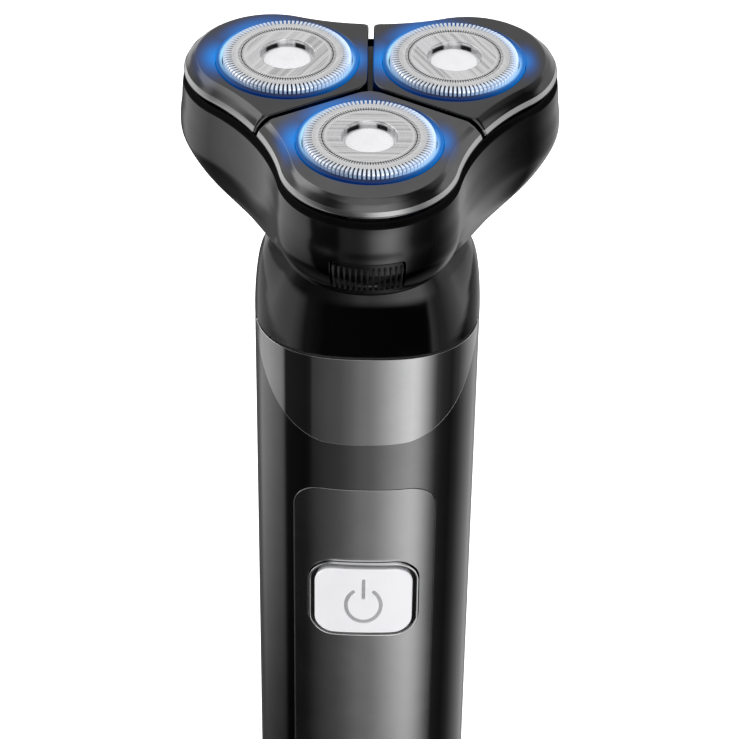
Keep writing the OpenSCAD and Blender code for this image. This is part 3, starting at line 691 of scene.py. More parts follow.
SIDE = wall()
HALF_TURN = SIDE.half_turn        # arc length from the front's middle to the side seam
quarter_round = np.linspace(0, HALF_TURN, 4001)
BADGE_REACH = float(quarter_round[np.argmax(badge_edge(quarter_round) >= SEAM_Z)])
badge_u = np.linspace(BADGE_REACH, -BADGE_REACH, 90)
BADGE_CURVE = np.stack([badge_u, np.minimum(badge_edge(badge_u), SEAM_Z)], 1)
PANEL_LOOP = rounded(PANEL_HALF, PANEL_LOW, PANEL_TOP, PANEL_CORNER)
BEZEL_LOOP = rounded(BEZEL_HALF, BUTTON_Z - BEZEL_H / 2, BUTTON_Z + BEZEL_H / 2, BUTTON_CORNER + 1.1, 0.5)


def make_shells():
    seam = 0.04
    front = Skin()
    side = HALF_TURN - seam
    low_edge = spaced((-side, BASE_TOP), (side, BASE_TOP), 0.8)
    right, left = spaced((side, BASE_TOP), (side, SEAM_Z), 3), spaced((-side, SEAM_Z), (-side, BASE_TOP), 3)
    right_top = spaced((side, SEAM_Z), (BADGE_REACH, SEAM_Z), 0.8)
    left_top = spaced((-BADGE_REACH, SEAM_Z), (-side, SEAM_Z), 0.8)
    outline = np.concatenate([low_edge, right, right_top, BADGE_CURVE[:-1], left_top, left])
    plate(front, SIDE, outline, [on_wall(SIDE, PANEL_LOOP)], radius=0.07, wall=1.4, step=(0.9, 3))
    front.build("front_shell_skin", [SHELL], "handle", "gloss_graphite", "front_shell")

    rear = Skin()
    span = 2 * HALF_TURN

    def behind(u, v):
        return SIDE(np.where(u > span, u - 2 * span, u), v)
    start, end = HALF_TURN + seam, 3 * HALF_TURN - seam
    loop = polyline([(start, BASE_TOP), (end, BASE_TOP), (end, SEAM_Z), (start, SEAM_Z)], 0.9)
    plate(rear, behind, loop, radius=0.16, wall=1.4, step=(0.9, 4))
    rear.build("rear_shell_skin", [SHELL], "handle", "gloss_graphite", "rear_shell")

    badge = Skin()
    top = spaced((BADGE_REACH - 0.3, SEAM_Z), (-BADGE_REACH + 0.3, SEAM_Z), 0.8)
    edge = BADGE_CURVE[::-1][1:-1]
    edge = edge[edge[:, 1] < SEAM_Z - 0.25]
    plate(badge, SIDE, np.concatenate([edge, top]), radius=0.06, wall=1.0, step=(0.8, 1.5))
    badge.build("badge_plate_skin", [BADGE], "handle", "gloss_badge", "badge_plate")


def make_panel():
    proud = wall(0.07)
    panel = Skin()
    around_bezel = on_wall(proud, moved(BEZEL_LOOP, 0.1))
    plate(panel, proud, on_wall(proud, moved(PANEL_LOOP, -0.07)), [around_bezel], radius=0.08, wall=1.2,
          step=(0.9, 3))
    panel.build("front_panel_skin", [PANEL], "handle", "satin_panel", "front_panel")

    lip_depth, well_depth = 0.9, 1.5
    lip = wall(BUTTON_PROUD - 0.2)
    opening = on_wall(lip, moved(BEZEL_LOOP, -0.34))
    bezel = Skin()
    plate(bezel, lip, on_wall(lip, BEZEL_LOOP), [opening], radius=0.12, wall=lip_depth, step=(0.3, 0.3))
    # Below the lip, the opening's wall and floor are in the well's painted shade.
    roll(bezel, lowered(lip, lip_depth), opening, 0.02, 1.6, hole=True, slot=1)
    sheet(bezel, lowered(lip, well_depth), opening, step=(1.2, 1.2), slot=1)
    bezel.build("button_bezel_trim", [CHROME, WELL_SHADE], "handle", "chrome_trim", "button_bezel")


def lowered(surface, depth):
    """The same surface, sunk by depth."""
    def at(u, v):
        p, n = surface(u, v)
        return p - n * depth, n
    return at


def power_symbol():
    """The loops of a broken ring and of the upright bar in its gap, anticlockwise."""
    outer_r, stroke, gap, tall = 3.6, 0.7, 36, 1.26
    middle = BUTTON_Z - 0.95
    start, end = 90 + gap, 450 - gap

    def tip(degrees):
        a = math.radians(degrees)
        return (outer_r - stroke / 2) * math.cos(a), (outer_r - stroke / 2) * math.sin(a)
    ring = np.concatenate([arc((0, 0), outer_r, start, end, 64)[:-1],
                           arc(tip(end), stroke / 2, end, end + 180, 9)[:-1],
                           arc((0, 0), outer_r - stroke, end, start, 64)[:-1],
                           arc(tip(start), stroke / 2, start - 180, start, 9)[:-1]])
    half, bar_low, bar_high = 0.32, 1.2, 5.2
    bar = np.concatenate([arc((0, bar_low + half), half, 180, 360, 9),
                          arc((0, bar_high - half), half, 0, 180, 9)])
    return [loop * [1, tall] + [0, middle] for loop in (ring, bar)]


def make_button():
    face = wall(BUTTON_PROUD)
    button = Skin()
    edge, groove, depth = 0.26, 0.06, 0.16
    loop = rounded(BUTTON_HALF, BUTTON_Z - BUTTON_H / 2, BUTTON_Z + BUTTON_H / 2, BUTTON_CORNER, 0.5)
    loop = moved(on_wall(face, loop), -edge)
    symbol = [on_wall(face, outline) for outline in power_symbol()]
    sheet(button, face, loop, [moved(outline, groove) for outline in symbol], (0.6, 0.6))
    roll(button, face, loop, edge, 2.4, steps=7)
    for outline in symbol:
        roll(button, face, moved(outline, groove), groove, depth, hole=True, steps=3)
        sheet(button, lowered(face, depth), outline, step=(0.3, 0.3), slot=1)
    button.build("power_button_cap", [BUTTON, ICON], "button", "silver_button", "power_button")


OVAL = np.linspace(0, 2 * math.pi, 240, endpoint=False)
OVAL_R = squarish_r(OVAL, HALF_W, HALF_D)


def make_dome():
    dome = Skin()
    top = DOME_TOP - SHOULDER_Z
    lean_slope, foot_r, wall_t = 0.19, 0.3, 1.6
    # The handle's outline, shrunk by a scale, then shared out towards the spigot's circle, at a height
    knots = [(1, 0, 0.3), (0.998, 0, 2), (0.993, 0, 4), (0.982, 0, 6.4), (0.96, 0, 9.6), (0.924, 0, 12.3),
             (0.882, 0.03, top - 2), (0.83, 0.1, top - 0.9), (0.76, 0.25, top - 0.2), (0.7, 0.5, top - 0.03),
             (0.7, 0.97, top)]
    facing = np.clip((np.abs(np.sin(OVAL)) - 0.05) / 0.45, 0, 1)
    facing = facing * facing * (3 - 2 * facing)
    rings = []
    for scale, share, z in smooth_curve(knots, 90):
        lean = lean_slope * (min(z, 13.0) - foot_r) * facing
        r = (OVAL_R * scale - lean) * (1 - share) + SPIGOT_R * share
        rings.append(ring_at(r, OVAL, SHOULDER_Z + z))
    dome.smooth(rings)
    foot = [ring_at(OVAL_R - foot_r * (1 - math.cos(t)), OVAL, SHOULDER_Z + foot_r * (1 - math.sin(t)))
            for t in np.radians(np.linspace(0, 90, 5))]
    foot.append(ring_at(OVAL_R - wall_t, OVAL, SHOULDER_Z))
    dome.smooth(foot, [1, 1, 1, 1, 1, 0])
    dome.build("shoulder_dome_skin", [PIANO], "handle", "piano_black", "shoulder_dome")


def make_base():
    base = Skin()
    top, edge_r, wall_t = BASE_TOP - 0.02, 0.16, 2
    knots = [(0, top - edge_r), (0, 4), (0.2, 2.6), (0.9, 0.9), (1.5, 0.3), (2.2, 0.0)]
    rings = [ring_at(OVAL_R - inset, OVAL, max(z, 0)) for inset, z in smooth_curve(knots, 40)]
    base.smooth(rings)
    lip = [ring_at(OVAL_R - edge_r * (1 - math.cos(t)), OVAL, top - edge_r + edge_r * math.sin(t))
           for t in np.radians(np.linspace(0, 90, 4))]
    lip.append(ring_at(OVAL_R - wall_t, OVAL, top))
    base.smooth(lip, [1, 1, 1, 1, 0])

    # The charging socket's mouth
    slot_y = float(high("charging_socket")[1] + low("charging_socket")[1]) / 2
    slot_half, slot_r, soft = 2.95, 1.75, 0.2
    mouth = moved(np.concatenate([arc((slot_half, slot_y), slot_r, -90, 90, 17),
                                  arc((-slot_half, slot_y), slot_r, 90, 270, 17)]), soft)
    under = level(0.0, -1)
    sheet(base, under, rings[-1][:, :2], [mouth], (2, 2))
    roll(base, under, mouth, soft, 5.6, hole=True)
    base.build("base_cap_skin", [PIANO], "handle", "piano_black", "base_cap")


# ---- head ----

def lobes_r(a):
    """Radius of the three-lobed outline in direction a (degrees)."""
    m = np.mod(a + 90, 120)
    phi = np.minimum(m, 120 - m)
    psi = 60 - phi
    ux, uy = (SADDLE_C * 0.5 - LOBE_C) / LOBE_APART, SADDLE_C * math.sin(math.pi / 3) / LOBE_APART
    switch = math.degrees(math.atan2(LOBE_R * uy, LOBE_C + LOBE_R * ux))
    p, q = np.radians(phi), np.radians(psi)
    lobe_high = LOBE_R ** 2 - (LOBE_C * np.sin(p)) ** 2
    saddle_high = SADDLE_R ** 2 - (SADDLE_C * np.sin(q)) ** 2
    lobe = LOBE_C * np.cos(p) + np.sqrt(np.maximum(lobe_high, 0))
    saddle = SADDLE_C * np.cos(q) - np.sqrt(np.maximum(saddle_high, 0))
    return np.where(phi < switch, lobe, saddle)


DEGREE = 0.6125                   # length of one degree of the chamber's wall at its front, near enough


def chamber_r(a, height):
    """Radius of the hair chamber in direction a (degrees), at a height above its foot."""
    share = smooth_lookup(height, CHAMBER_SHARE)
    return FOOT_R * (1 - share) + lobes_r(a) * share


def chamber_wall(grow=0.0):
    """The hair chamber's outer wall: u runs round it from the front, v is the height."""
    def at(u, v):
        a = u / DEGREE - 90
        r = chamber_r(a, v - FOOT_Z) + grow
        return np.stack([r * np.cos(np.radians(a)), r * np.sin(np.radians(a)), v], 1)

    def surface(u, v):
        u, v = np.asarray(u, float), np.asarray(v, float)
        tiny = 0.02
        du = at(u + tiny, v) - at(u - tiny, v)
        dv = at(u, v + tiny) - at(u, v - tiny)
        return at(u, v), unit(np.cross(du, dv))
    return surface


CHAMBER = chamber_wall()
CHAMBER_N = 540                   # points round the chamber
FOOT_EDGE, RIM_STEP = 0.35, 0.85
CHAMBER_LOW, CHAMBER_TOP = FOOT_Z + FOOT_EDGE, RIM_Z - RIM_STEP


def latch_loop(half, z0, z1, corner):
    """A rounded rectangle in the chamber's front wall; an arc there is a little longer than its chord."""
    return rounded(half * 1.015, z0, z1, corner, 0.4, 7)


def make_chamber():
    chamber = Skin()
    half_turn = 180 * DEGREE
    around = np.linspace(-half_turn, half_turn, CHAMBER_N, endpoint=False)
    for part_of_chamber in (chamber_side, chamber_rim, chamber_inside, chamber_foot):
        part_of_chamber(chamber, around)
    chamber.build("hair_chamber_bowl", [BOWL, GAP_SHADE], "head", "satin_black", "hair_chamber")


def chamber_side(chamber, around):
    """Rings of quads all round, but for a finer frame at the front that holds the latch's window."""
    frame_u, frame_v = (-9.0, 9.0), (LATCH_LOW - 1.6, LATCH_TOP + 1.6)
    u0, u1 = around[np.searchsorted(around, frame_u)]
    levels = np.concatenate([np.linspace(CHAMBER_LOW, frame_v[0], 36), np.linspace(*frame_v, 16)[1:],
                             np.linspace(frame_v[1], CHAMBER_TOP, 30)[1:]])
    n = len(around)
    grid = [CHAMBER(around, np.full(n, v)) for v in levels]
    points, normals = np.array(grid).swapaxes(0, 1)
    start = chamber.add(points, normals.reshape(-1, 3))
    middle = around + 180 * DEGREE / n
    in_frame = (middle > u0) & (middle < u1)
    for j, mid_v in enumerate((levels[:-1] + levels[1:]) / 2):
        cut = (frame_v[0] < mid_v < frame_v[1]) & in_frame
        i = np.arange(n)[~cut]
        a, b = start + j * n, start + (j + 1) * n
        chamber.join(np.stack([a + i, a + (i + 1) % n, b + (i + 1) % n, b + i], 1))
    us = around[(around >= u0 - 1e-9) & (around <= u1 + 1e-9)]
    vs = levels[(levels >= frame_v[0] - 1e-9) & (levels <= frame_v[1] + 1e-9)]
    patch = np.concatenate([np.stack(np.broadcast_arrays(*side), 1) for side in (
        (us[:-1], vs[0]), (us[-1], vs[:-1]), (us[:0:-1], vs[-1]), (us[0], vs[:0:-1]))])
    soft = 0.1
    window = moved(latch_loop(LATCH_HALF + 0.2, LATCH_LOW - 0.2, LATCH_TOP + 0.2, 0.6), soft)
    sheet(chamber, CHAMBER, patch, [window], (0.5, 0.5))
    roll(chamber, CHAMBER, window, soft, 0.8, hole=True, sheen_and_wear=0, inward=LATCH_WAY)


def chamber_rim(chamber, around):
    """A rounded lip, then a matt step up to the gap under the petals, both painted near-black as the shade in
    that gap.
    """
    lip_r, up = 0.22, np.array([0, 0, 1])
    edge, _ = CHAMBER(around, np.full(len(around), CHAMBER_TOP))
    radial = unit(edge * [1, 1, 0])
    turns = np.radians(np.linspace(0, 70, 6))
    lip = [edge - radial * lip_r * (1 - math.cos(t)) + up * lip_r * math.sin(t) for t in turns]
    normals = [unit(radial * math.cos(t) + up * math.sin(t)) for t in turns]
    chamber.loft(np.array(lip), np.array(normals), slot=1)
    steps = ((0.95, 0.35), (1.1, 0.7), (1.2, RIM_STEP), (CHAMBER_T, RIM_STEP), (CHAMBER_T, 0))
    chamber.smooth([lip[-1]] + [edge - radial * inset + up * rise for inset, rise in steps], slot=1)


def chamber_inside(chamber, around):
    """The bowl's inner wall and the collar's bore."""
    a = around / DEGREE - 90
    edge, _ = CHAMBER(around, np.full(len(around), CHAMBER_TOP))
    inner = [edge - unit(edge * [1, 1, 0]) * CHAMBER_T]
    for height in (24.0, 22.5, 20.5, 18.4, 16.9, 15.4, 13.9, 12.4, 10.9, 9.4, 7.9, 6.4):
        inner.append(ring_at(chamber_r(a, height - CHAMBER_T) - CHAMBER_T, np.radians(a), FOOT_Z + height))
    collar_top = FOOT_Z + 4.8
    inner.append(ring_at(COLLAR_R, np.radians(a), collar_top))
    chamber.smooth(inner, inwards=True)
    chamber.smooth([ring_at(COLLAR_R, np.radians(a), z) for z in (collar_top, FOOT_Z)], inwards=True)


def chamber_foot(chamber, around):
    """The rounded edge and the flat underside."""
    edge, outwards = CHAMBER(around, np.full(len(around), CHAMBER_LOW))
    radial, down = unit(edge * [1, 1, 0]), np.array([0, 0, -1])
    turns = np.radians(np.linspace(0, 90, 6))
    foot = [edge - radial * FOOT_EDGE * (1 - math.cos(t)) + down * FOOT_EDGE * math.sin(t) for t in turns]
    normals = [unit(outwards * math.cos(t) + down * math.sin(t)) for t in turns]
    foot.append(ring_at(COLLAR_R, np.radians(around / DEGREE - 90), FOOT_Z))
    normals.append(normals[-1])
    chamber.loft(np.array(foot), np.array(normals), [0, 1, 1, 1, 1, 1, 0])


def make_latch():
    latch = Skin()
    face = chamber_wall(-0.3)
    loop = latch_loop(LATCH_HALF - 0.12, LATCH_LOW + 0.2, LATCH_TOP - 0.05, 0.5)
    plate(latch, face, loop, radius=0.1, wall=0.28, step=(0.5, 0.5), inward=LATCH_WAY)
    ribs, pitch, half, tall, fade = 13, 0.94, 0.22, 0.6, 0.5
    z0, z1 = LATCH_LOW + 0.35, LATCH_TOP - 0.75
    t = np.radians(np.linspace(-90, 90, 9))
    for k in range(ribs):
        middle = (k - (ribs - 1) / 2) * pitch
        rows, normals = [], []
        for v in np.concatenate([np.linspace(z0, z0 + fade, 5), np.linspace(z1 - fade, z1, 5)]):
            ends = min(1, v - z0, z1 - v, fade) / fade
            height = tall * math.sqrt(max(0.0, 1 - (1 - ends) ** 2))
            p, n = face(middle + half * np.sin(t), np.full(len(t), v))
            side = unit(np.stack([-n[:, 1], n[:, 0], np.zeros(len(t))], 1))
            rows.append(p + n * (height * np.cos(t))[:, None])
            normals.append(unit(n * np.cos(t)[:, None] + side * np.sin(t)[:, None]))
        latch.loft(np.array(rows), np.array(normals), closed=False, sheen_and_wear=0.6, slot=1)
    latch.build("release_latch_pad", [PIANO, RIB], "latch", "satin_black", "release_latch")


def petal_outline(grow, half, corner):
    """One petal's outline along local +X: lobe arc, saddle arcs, rounded ends, seams and inner corner."""
    inner = 4.2                   # radius of the inner corner, by the head's axis
    ray = np.array([0.5, math.sin(math.pi / 3)])
    side = np.array([ray[1], -ray[0]])
    lobe, saddle = np.array([LOBE_C, 0.0]), SADDLE_C * ray
    big_r = SADDLE_R - grow
    meet = lobe + (saddle - lobe) * (LOBE_R + grow) / LOBE_APART
    turn = math.degrees(math.atan2(saddle[1], saddle[0] - LOBE_C))
    along = SADDLE_C - math.sqrt((big_r + corner) ** 2 - (half + corner) ** 2)
    centre = ray * along + side * (half + corner)
    touch = saddle + (centre - saddle) * big_r / (big_r + corner)

    def angle(v):
        return math.degrees(math.atan2(v[1], v[0]))
    a0, a1 = angle(meet - saddle), angle(touch - saddle)
    c0 = angle(touch - centre)
    c1 = angle(-side)
    c1 += 360 if c1 < c0 else 0
    hub = half / ray[1] + inner / ray[1]
    seam_end = ray * along + side * half
    seam_start = np.array([hub, 0.0]) + inner * -side
    upper = np.concatenate([
        arc(lobe, LOBE_R + grow, 0, turn, 60)[:-1],
        arc(saddle, big_r, a0, a1, 30)[:-1],
        arc(centre, corner, c0, c1, 10)[:-1],
        np.linspace(seam_end, seam_start, 16)[:-1],
        arc((hub, 0), inner, angle(-side), 180, 12)[:-1]])
    tip = np.array([[hub - inner, 0.0]])
    under = upper[1:][::-1] * [1, -1]
    return np.concatenate([upper, tip, under])


def petal_ring(where, z, *shape):
    loop = petal_outline(*shape)
    return where(np.column_stack([loop, np.full(len(loop), z)]))


def make_petal(side, direction, material):
    petal = Skin()
    where = lobe_frame(direction)
    low_z, top_z = PETAL_LOW, PETAL_TOP
    rim_top = low_z + 1.05

    def rings(sections):
        """Each section is a height and the outline's growth, half seam and end corner there."""
        return np.array([petal_ring(where, *section) for section in sections])

    rim = rings([(low_z, -0.6, 0.46, 0.5), (low_z + 0.03, -0.42, 0.44, 0.5), (low_z + 0.14, -0.32, 0.42, 0.5),
                 (low_z + 0.4, -0.38, 0.42, 0.5), (rim_top, -0.72, 0.42, 0.5)])
    # The rim band's lower edge is marked for a lighter edge: painted highlight with wear.
    petal.smooth(rim, [1, 1, 0.4, 0, 0], slot=1)
    slope = rings([(rim_top, -0.72, 0.42, 0.5), (rim_top + 0.04, -0.78, 0.43, 0.5),
                   (rim_top + 0.4, -1.1, 0.44, 0.6), (rim_top + 0.75, -1.44, 0.45, 0.7),
                   (rim_top + 1.1, -1.8, 0.46, 0.8), (top_z - 0.3, -2.14, 0.5, 0.95),
                   (top_z - 0.12, -2.32, 0.56, 1.05), (top_z - 0.03, -2.5, 0.63, 1.15),
                   (top_z, -2.7, 0.74, 1.25)])
    normals = ring_normals(slope)
    normals[-1] = [0, 0, 1]
    # The bevel is lightened near its foot and near the top plane: painted highlight with wear.
    petal.loft(slope, normals, [0.3, 0, 0, 0, 0, 0.2, 0.5, 0.5, 0])

    hole, soft = arc((PITCH_R, 0), RING_OUT + 0.1, 0, 360, 193)[:-1], 0.2
    sheet(petal, level(top_z, 1, where), petal_outline(-2.7, 0.74, 1.25), [moved(hole, soft)], (1.5, 1.5))
    roll(petal, level(top_z, 1, where), moved(hole, soft), soft, top_z - low_z, hole=True)
    sheet(petal, level(low_z, -1, where), petal_outline(-0.6, 0.46, 0.5), [hole], (2, 2))

    # Hinge lugs that hang under the petal's outer edge
    lug_low = low("petal_front")[2]
    for y in (-5.0, 3.4):
        for points, normal in block_faces((30, y, lug_low), (32, y + 1.6, low_z + 0.1)):
            first = petal.add(where(points), where(normal, False))
            petal.join([[first + i for i in range(4)]])
    body = f"petal_{side}"
    petal.build(f"{body}_top", [material, RIM], body, "gunmetal", body)


def block_faces(lo, hi):
    """The six faces of a block, each as four points and a normal."""
    ends = np.array([lo, hi], float)
    for axis in range(3):
        for end in (0, 1):
            b, c = [k for k in range(3) if k != axis]
            points, normal = np.full((4, 3), ends[end]), np.zeros(3)
            points[:, b], points[:, c] = ends[[0, 1, 1, 0], b], ends[[0, 0, 1, 1], c]
            normal[axis] = 2 * end - 1
            yield points, normal


def make_ring(side, direction, material):
    ring = Skin()
    where = lobe_frame(direction, PITCH_R)
    inner, outer, soft = GUARD_R + 0.2, RING_OUT, 0.22
    lathe(ring, where, [(outer, RING_LOW), (outer, RING_TOP - soft)])
    lathe(ring, where, arc((outer - soft, RING_TOP - soft), soft, 0, 90))
    lathe(ring, where, [(outer - soft, RING_TOP), (inner + soft, RING_TOP)])
    lathe(ring, where, arc((inner + soft, RING_TOP - soft), soft, 90, 180))
    lathe(ring, where, [(inner, RING_TOP - soft), (inner, RING_LOW)])
    lathe(ring, where, [(inner, RING_LOW), (outer, RING_LOW)])
    ring.build(f"light_ring_{side}_glow", [material], f"petal_{side}", "light_guide", f"light_ring_{side}")


def bars(skin, where, count, path, width, thick, sheen_and_wear=0.0):
    """Thin bars that follow a profile path of (r, z) points, spaced evenly round the axis."""
    path = np.asarray(path, float)
    run = unit(np.gradient(path, axis=0))
    side = np.stack([-run[:, 1], run[:, 0]], 1)
    under = path - side * thick
    n = len(path)
    for k in range(count):
        a = 2 * math.pi * k / count
        out, across = np.array([math.cos(a), math.sin(a), 0]), np.array([-math.sin(a), math.cos(a), 0])

        def lift(profile, shift):
            return np.outer(profile[:, 0], out) + across * shift + np.outer(profile[:, 1], [0, 0, 1])
        face_n = np.outer(side[:, 0], out) + np.outer(side[:, 1], [0, 0, 1])
        for edge in (((path, width / 2), (path, -width / 2), face_n),
                     ((under, width / 2), (path, width / 2), np.tile(across, (n, 1))),
                     ((path, -width / 2), (under, -width / 2), np.tile(-across, (n, 1)))):
            rows = np.stack([lift(*edge[0]), lift(*edge[1])])
            skin.loft(where(rows), where(np.stack([edge[2], edge[2]]), False), sheen_and_wear, closed=False)


def make_guard(side, direction, metal, gap):
    guard = Skin()
    where = lobe_frame(direction, PITCH_R)
    top, soft = FOIL_TOP, 0.22
    groove, rake, recess = 7.85, 0.08, RECESS_R - 0.22
    rim_start, rim_flat, rim_r, wall_low = 9.5, 10.0, 0.6, FOIL_TOP - 1.75
    teeth_in, teeth_out, ticks, teeth = 7.5, 8.4, 116, 90
    flange, flange_top = high("guard_front")[0], GUARD_LOW + 0.9
    lathe(guard, where, [(recess, CAP_TOP - 0.3), (recess, top - soft)])
    lathe(guard, where, arc((recess + soft, top - soft), soft, 180, 90), sheen_and_wear=1)
    lathe(guard, where, [(recess + soft, top), (teeth_in, top)])
    lathe(guard, where, [(teeth_out, top), (rim_start, top)])
    for r0, r1 in ((teeth_in, groove - rake), (groove + rake, teeth_out)):
        bars(guard, where, ticks, [(r0, top), (r1, top)], r0 * 2 * math.pi / ticks * 0.66, 0.25)
    under = top - 0.25
    # Slot 1 is the painted slot shade: here a dark sheet under the bars stands for the shade seen through the
    # slots.
    lathe(guard, where, [(teeth_in, top), (teeth_in, under), (teeth_out, under), (teeth_out, top)], slot=1)
    rim_path = np.concatenate([[(rim_start, top), (rim_flat, top)],
                               arc((GUARD_R - rim_r, top - rim_r), rim_r, 90, 0, 7),
                               [(GUARD_R, wall_low)]])
    bars(guard, where, teeth, rim_path, 0.4, 0.45, sheen_and_wear=0.4)
    # The rim's underside and the guard's inner walls below take the painted slot shade as well.
    inner = rim_path - [0.42, 0.42]
    lathe(guard, where, np.concatenate([[(rim_start, top)], inner]), slot=1)
    inside, under = GUARD_R - 0.5, top - 0.6
    lathe(guard, where, [(GUARD_R, wall_low), (GUARD_R, flange_top)])
    lathe(guard, where, [(GUARD_R, flange_top), (flange, flange_top)])
    lathe(guard, where, [(flange, flange_top), (flange, GUARD_LOW)])
    lathe(guard, where, [(flange, GUARD_LOW), (inside, GUARD_LOW)])
    within = [(inside, GUARD_LOW), (inside, wall_low), (rim_start, under), (RECESS_R + 0.5, under)]
    lathe(guard, where, within, slot=1)
    body = f"guard_{side}"
    guard.build(f"{body}_foil", [metal, gap], body, "foil_steel", body)


def make_cap(side, direction, material):
    cap = Skin()
    where = lobe_frame(direction, PITCH_R)
    disc, soft = RECESS_R - 0.66, 0.3
    lathe(cap, where, [(0.01, CAP_TOP), (disc - soft, CAP_TOP)])
    lathe(cap, where, arc((disc - soft, CAP_TOP - soft), soft, 90, 0), sheen_and_wear=1)
    lathe(cap, where, [(disc, CAP_TOP - soft), (RECESS_R - 0.2, CAP_TOP - soft)])
    cap.build(f"guard_cap_{side}_disc", [material], f"guard_{side}", "cap_steel", f"guard_cap_{side}")


def make_spring(side, direction):
    """A coil spring with its top on the pin above it, carried by the spindle's body."""
    spring = Skin()
    name = f"spindle_spring_{side}"
    bottom, top = low(name)[2], high(name)[2]
    turns, steps, coil_r, wire_r = 4, 28, 1.45, 0.2
    angle = np.linspace(0, 2 * math.pi * turns, turns * steps + 1)
    round_wire = np.linspace(0, 2 * math.pi, 10, endpoint=False)
    out = np.stack([np.cos(angle), np.sin(angle), np.zeros_like(angle)], 1)[:, None]
    up = np.array([0, 0, 1.0])
    heights = np.linspace(bottom + wire_r, top - wire_r, len(angle))[:, None, None] * up
    normals = out * np.cos(round_wire)[None, :, None] + up * np.sin(round_wire)[None, :, None]
    rings = out * coil_r + heights + normals * wire_r
    where = lobe_frame(direction, PITCH_R)
    spring.loft(where(rings), where(normals, False), 0.3)
    for end, facing in ((0, -1), (-1, 1)):
        tip = where(rings[end])
        along = where(np.cross(up, out[end, 0]) * facing, False)
        first = spring.add(tip, np.tile(along, (len(tip), 1)))
        spring.join([[first + i for i in range(len(tip))][::-facing]])
    piece = spring.build(f"{name}_coil", [STEEL], f"spindle_{side}", "spring_steel", name)
    anchor = tuple(where(np.array([0, 0, top])) * MM)
    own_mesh(piece)


def make_head():
    make_chamber()
    make_latch()
    for side, direction in STATIONS.items():
        cx = PITCH_R * math.cos(math.radians(direction))
        cy = PITCH_R * math.sin(math.radians(direction))
        # Painted light: the front petal gets a lighter grey than the two side petals, though all three are
        # one finish.
        painted_shade = grey(0.13 if side == "front" else 0.088)
        glow = painted_glow_round(cx, cy)
        satin = finish(f"petal_satin_{side}", painted_shade, 1.0, 0.11, 0.05, (16.0, 0.03), sheen_and_wear_amount=0.1, smudge=0.03,
                       extra=glow)
        metal = foil_metal(f"foil_{side}", cx, cy, direction)
        polished = finish(f"cap_{side}", grey(0.58), 0.15, 0.4, 0.03, (20.0, 0.03))
        make_petal(side, direction, satin)
        make_ring(side, direction, light_guide(f"light_{side}", cx, cy))
        make_guard(side, direction, metal, slot_painted_shade(f"slot_painted_shade_{side}", cx, cy))
        make_cap(side, direction, polished)
        make_spring(side, direction)


# ---- studio ----

def make_camera():
    """A long lens, 38.6 degrees above the handle's middle."""
    aim, distance = np.array([0.536, 0, 106.34]), 532.47
    azimuth, elevation, tilt = math.radians(-0.017), math.radians(38.6), math.radians(0.807)
    back = np.array([math.sin(azimuth) * math.cos(elevation), -math.cos(azimuth) * math.cos(elevation),
                     math.sin(elevation)])
    right = np.array([math.cos(azimuth), math.sin(azimuth), 0])
    up = np.cross(back, right)
    x = math.cos(tilt) * right + math.sin(tilt) * up
    y = -math.sin(tilt) * right + math.cos(tilt) * up
    data = bpy.data.cameras.new("camera")
    data.lens, data.sensor_width, data.sensor_fit = 142.91, 36, "HORIZONTAL"
    data.clip_start, data.clip_end = 0.01, 50
    camera = bpy.data.objects.new("camera", data)
    place = (aim + back * distance) * MM
    camera.matrix_world = Matrix([[x[0], y[0], back[0], place[0]], [x[1], y[1], back[1], place[1]],
                                  [x[2], y[2], back[2], place[2]], [0, 0, 0, 1]])
    bpy.context.scene.collection.objects.link(camera)
    bpy.context.scene.camera = camera


def make_floor():
    mesh = bpy.data.meshes.new("floor")
    reach, n = 4.0, 9
    xs = np.linspace(-reach, reach, n)
    mesh.from_pydata([(x, y, 0) for y in xs for x in xs], [],
                     [(j * n + i, j * n + i + 1, (j + 1) * n + i + 1, (j + 1) * n + i)
                      for j in range(n - 1) for i in range(n - 1)])
    s = Shader("pale_floor")
    cloud = s.noise(s.node("ShaderNodeTexCoord").outputs["Object"], 3.0)
    pale = s.mix(cloud, 0.95, 0.98)
    mesh.materials.append(s.surface({"Base Color": pale, "Roughness": 0.8,
                                     "Emission Color": (1, 1, 1, 1), "Emission Strength": 0.45}))
    floor = bpy.data.objects.new("floor", mesh)
    bpy.context.scene.collection.objects.link(floor)
    floor.visible_glossy = False


# Brightness of the studio round the object, by azimuth from the front (+ to the right), in bands from
# below eye level to overhead
BELOW = [(-180, 0.05), (-150, 0.14), (-136, 0.5), (-110, 0.46), (-94, 0.38), (-80, 0.3), (-75, 0.22),
         (-71, 0.02), (-40, 0.013), (-35, 0.02), (-33, 0.06), (-20, 0.09), (-10, 0.11), (-4, 0.17),
         (0, 0.26), (4, 0.43), (10, 0.66), (19, 0.92), (26, 1.03), (32, 0.9), (39, 0.6), (45, 0.36),
         (50, 0.18), (55, 0.07), (64, 0.035), (80, 0.02), (95, 0.06), (105, 0.14), (125, 0.34),
         (150, 0.55), (180, 0.05)]
LEVEL = [(-180, 0.8), (-133, 1.4), (-101, 1.2), (-80, 1.05), (-58, 0.95), (-48, 0.6), (-40, 0.15),
         (-30, 0.08), (-20, 0.015), (37, 0.01), (40, 0.1), (43, 0.6), (52, 0.3), (62, 0.35), (80, 0.8),
         (105, 1.3), (180, 0.8)]
EDGE = [(-180, 0.6), (-150, 0.5), (-125, 0.65), (-105, 0.45), (-88, 0.6), (-70, 0.2), (-50, 0.08),
        (-20, 0.1), (-11, 0.2), (-4, 0.4), (4, 1.2), (15, 1.9), (35, 1.9), (48, 0.8), (62, 0.3), (76, 0.8),
        (110, 0.95), (180, 0.6)]
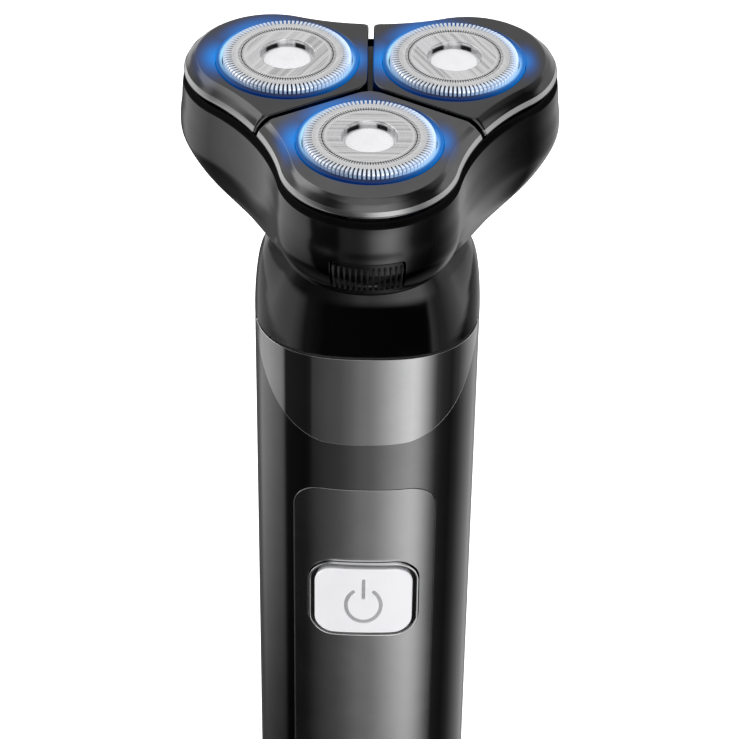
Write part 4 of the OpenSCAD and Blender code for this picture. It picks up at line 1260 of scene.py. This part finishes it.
ABOVE = [(-180, 0.7), (-158, 0.8), (-138, 1.9), (-108, 1.9), (-92, 0.9), (-84, 0.3), (-72, 0.15),
         (-61, 0.08), (-50, 0.09), (-40, 0.24), (-32, 0.5), (-20, 0.95), (-5, 1.15), (25, 1.25),
         (40, 0.97), (50, 0.56), (60, 0.2), (72, 0.05), (96, 0.04), (112, 0.25), (140, 0.65), (180, 0.7)]
OVER = [(-180, 0.7), (-110, 0.6), (-98, 0.35), (-80, 0.12), (-60, 0.3), (-45, 0.6), (0, 0.75), (55, 0.7),
        (70, 0.3), (80, 0.08), (104, 0.1), (125, 0.5), (180, 0.7)]


def ramp(s, value, stops):
    made = s.node("ShaderNodeValToRGB", {0: value})
    elements = made.color_ramp.elements
    while len(elements) > 1:
        elements.remove(elements[-1])
    for i, (azimuth, light) in enumerate(stops):
        at = (azimuth + 180) / 360
        element = elements[0] if i == 0 else elements.new(at)
        element.position = at
        element.color = (light, light, light, 1)
    return made.outputs[0]


def make_studio():
    world = bpy.data.worlds.new("studio")
    bpy.context.scene.world = world
    s = Shader("studio", world)
    s.nodes.clear()
    x, y, z = s.split(s.node("ShaderNodeTexCoord").outputs["Generated"])
    azimuth = s.math("ARCTAN2", x, s.math("MULTIPLY", y, -1.0))
    turn = s.math("ADD", s.math("DIVIDE", azimuth, 2 * math.pi), 0.5)
    left = s.math("MULTIPLY", s.span(z, -0.735, -0.62, 0.12, 1.0), s.span(z, -0.62, -0.5, 1.0, 1.3))
    fade = s.mix(s.span(x, -0.45, -0.2), left, s.span(z, -0.79, -0.69, 0.15, 1.0))
    mirrored = s.mix(1.0, ramp(s, turn, BELOW), fade, "MULTIPLY")
    bands = ((-0.37, -0.3, LEVEL), (-0.02, 0.1, EDGE), (0.38, 0.5, ABOVE), (0.78, 0.88, OVER))
    for start, end, band in bands:
        mirrored = s.mix(s.span(z, start, end), mirrored, ramp(s, turn, band))
    rays = s.node("ShaderNodeLightPath")
    soft = s.mix(rays.outputs["Is Glossy Ray"], (1.0, 1.0, 1.02, 1), mirrored)
    seen = s.mix(rays.outputs["Is Camera Ray"], soft, (1, 1, 1, 1))
    light = s.node("ShaderNodeBackground", {"Color": seen, "Strength": 1.0})
    out = s.node("ShaderNodeOutputWorld")
    s.links.new(light.outputs[0], out.inputs[0])


def softbox(name, place, aim, size, power):
    data = bpy.data.lights.new(name, "AREA")
    data.shape, data.size, data.size_y, data.energy = "RECTANGLE", size[0], size[1], power
    lamp = bpy.data.objects.new(name, data)
    place, aim = Vector(place), Vector(aim)
    lamp.location = place
    lamp.rotation_euler = (aim - place).to_track_quat("-Z", "Y").to_euler()
    lamp.visible_glossy = False
    bpy.context.scene.collection.objects.link(lamp)


make_camera()
make_studio()
make_floor()
softbox("overhead", (0, 0.25, 0.95), (0, 0, 0.12), (0.9, 0.7), 5)
softbox("left_fill", (-0.8, -0.3, 0.45), (0, 0, 0.12), (0.3, 0.8), 2.5)
make_shells()
make_panel()
make_button()
make_dome()
make_base()
make_head()

bpy.context.scene.view_settings.view_transform = "Standard"
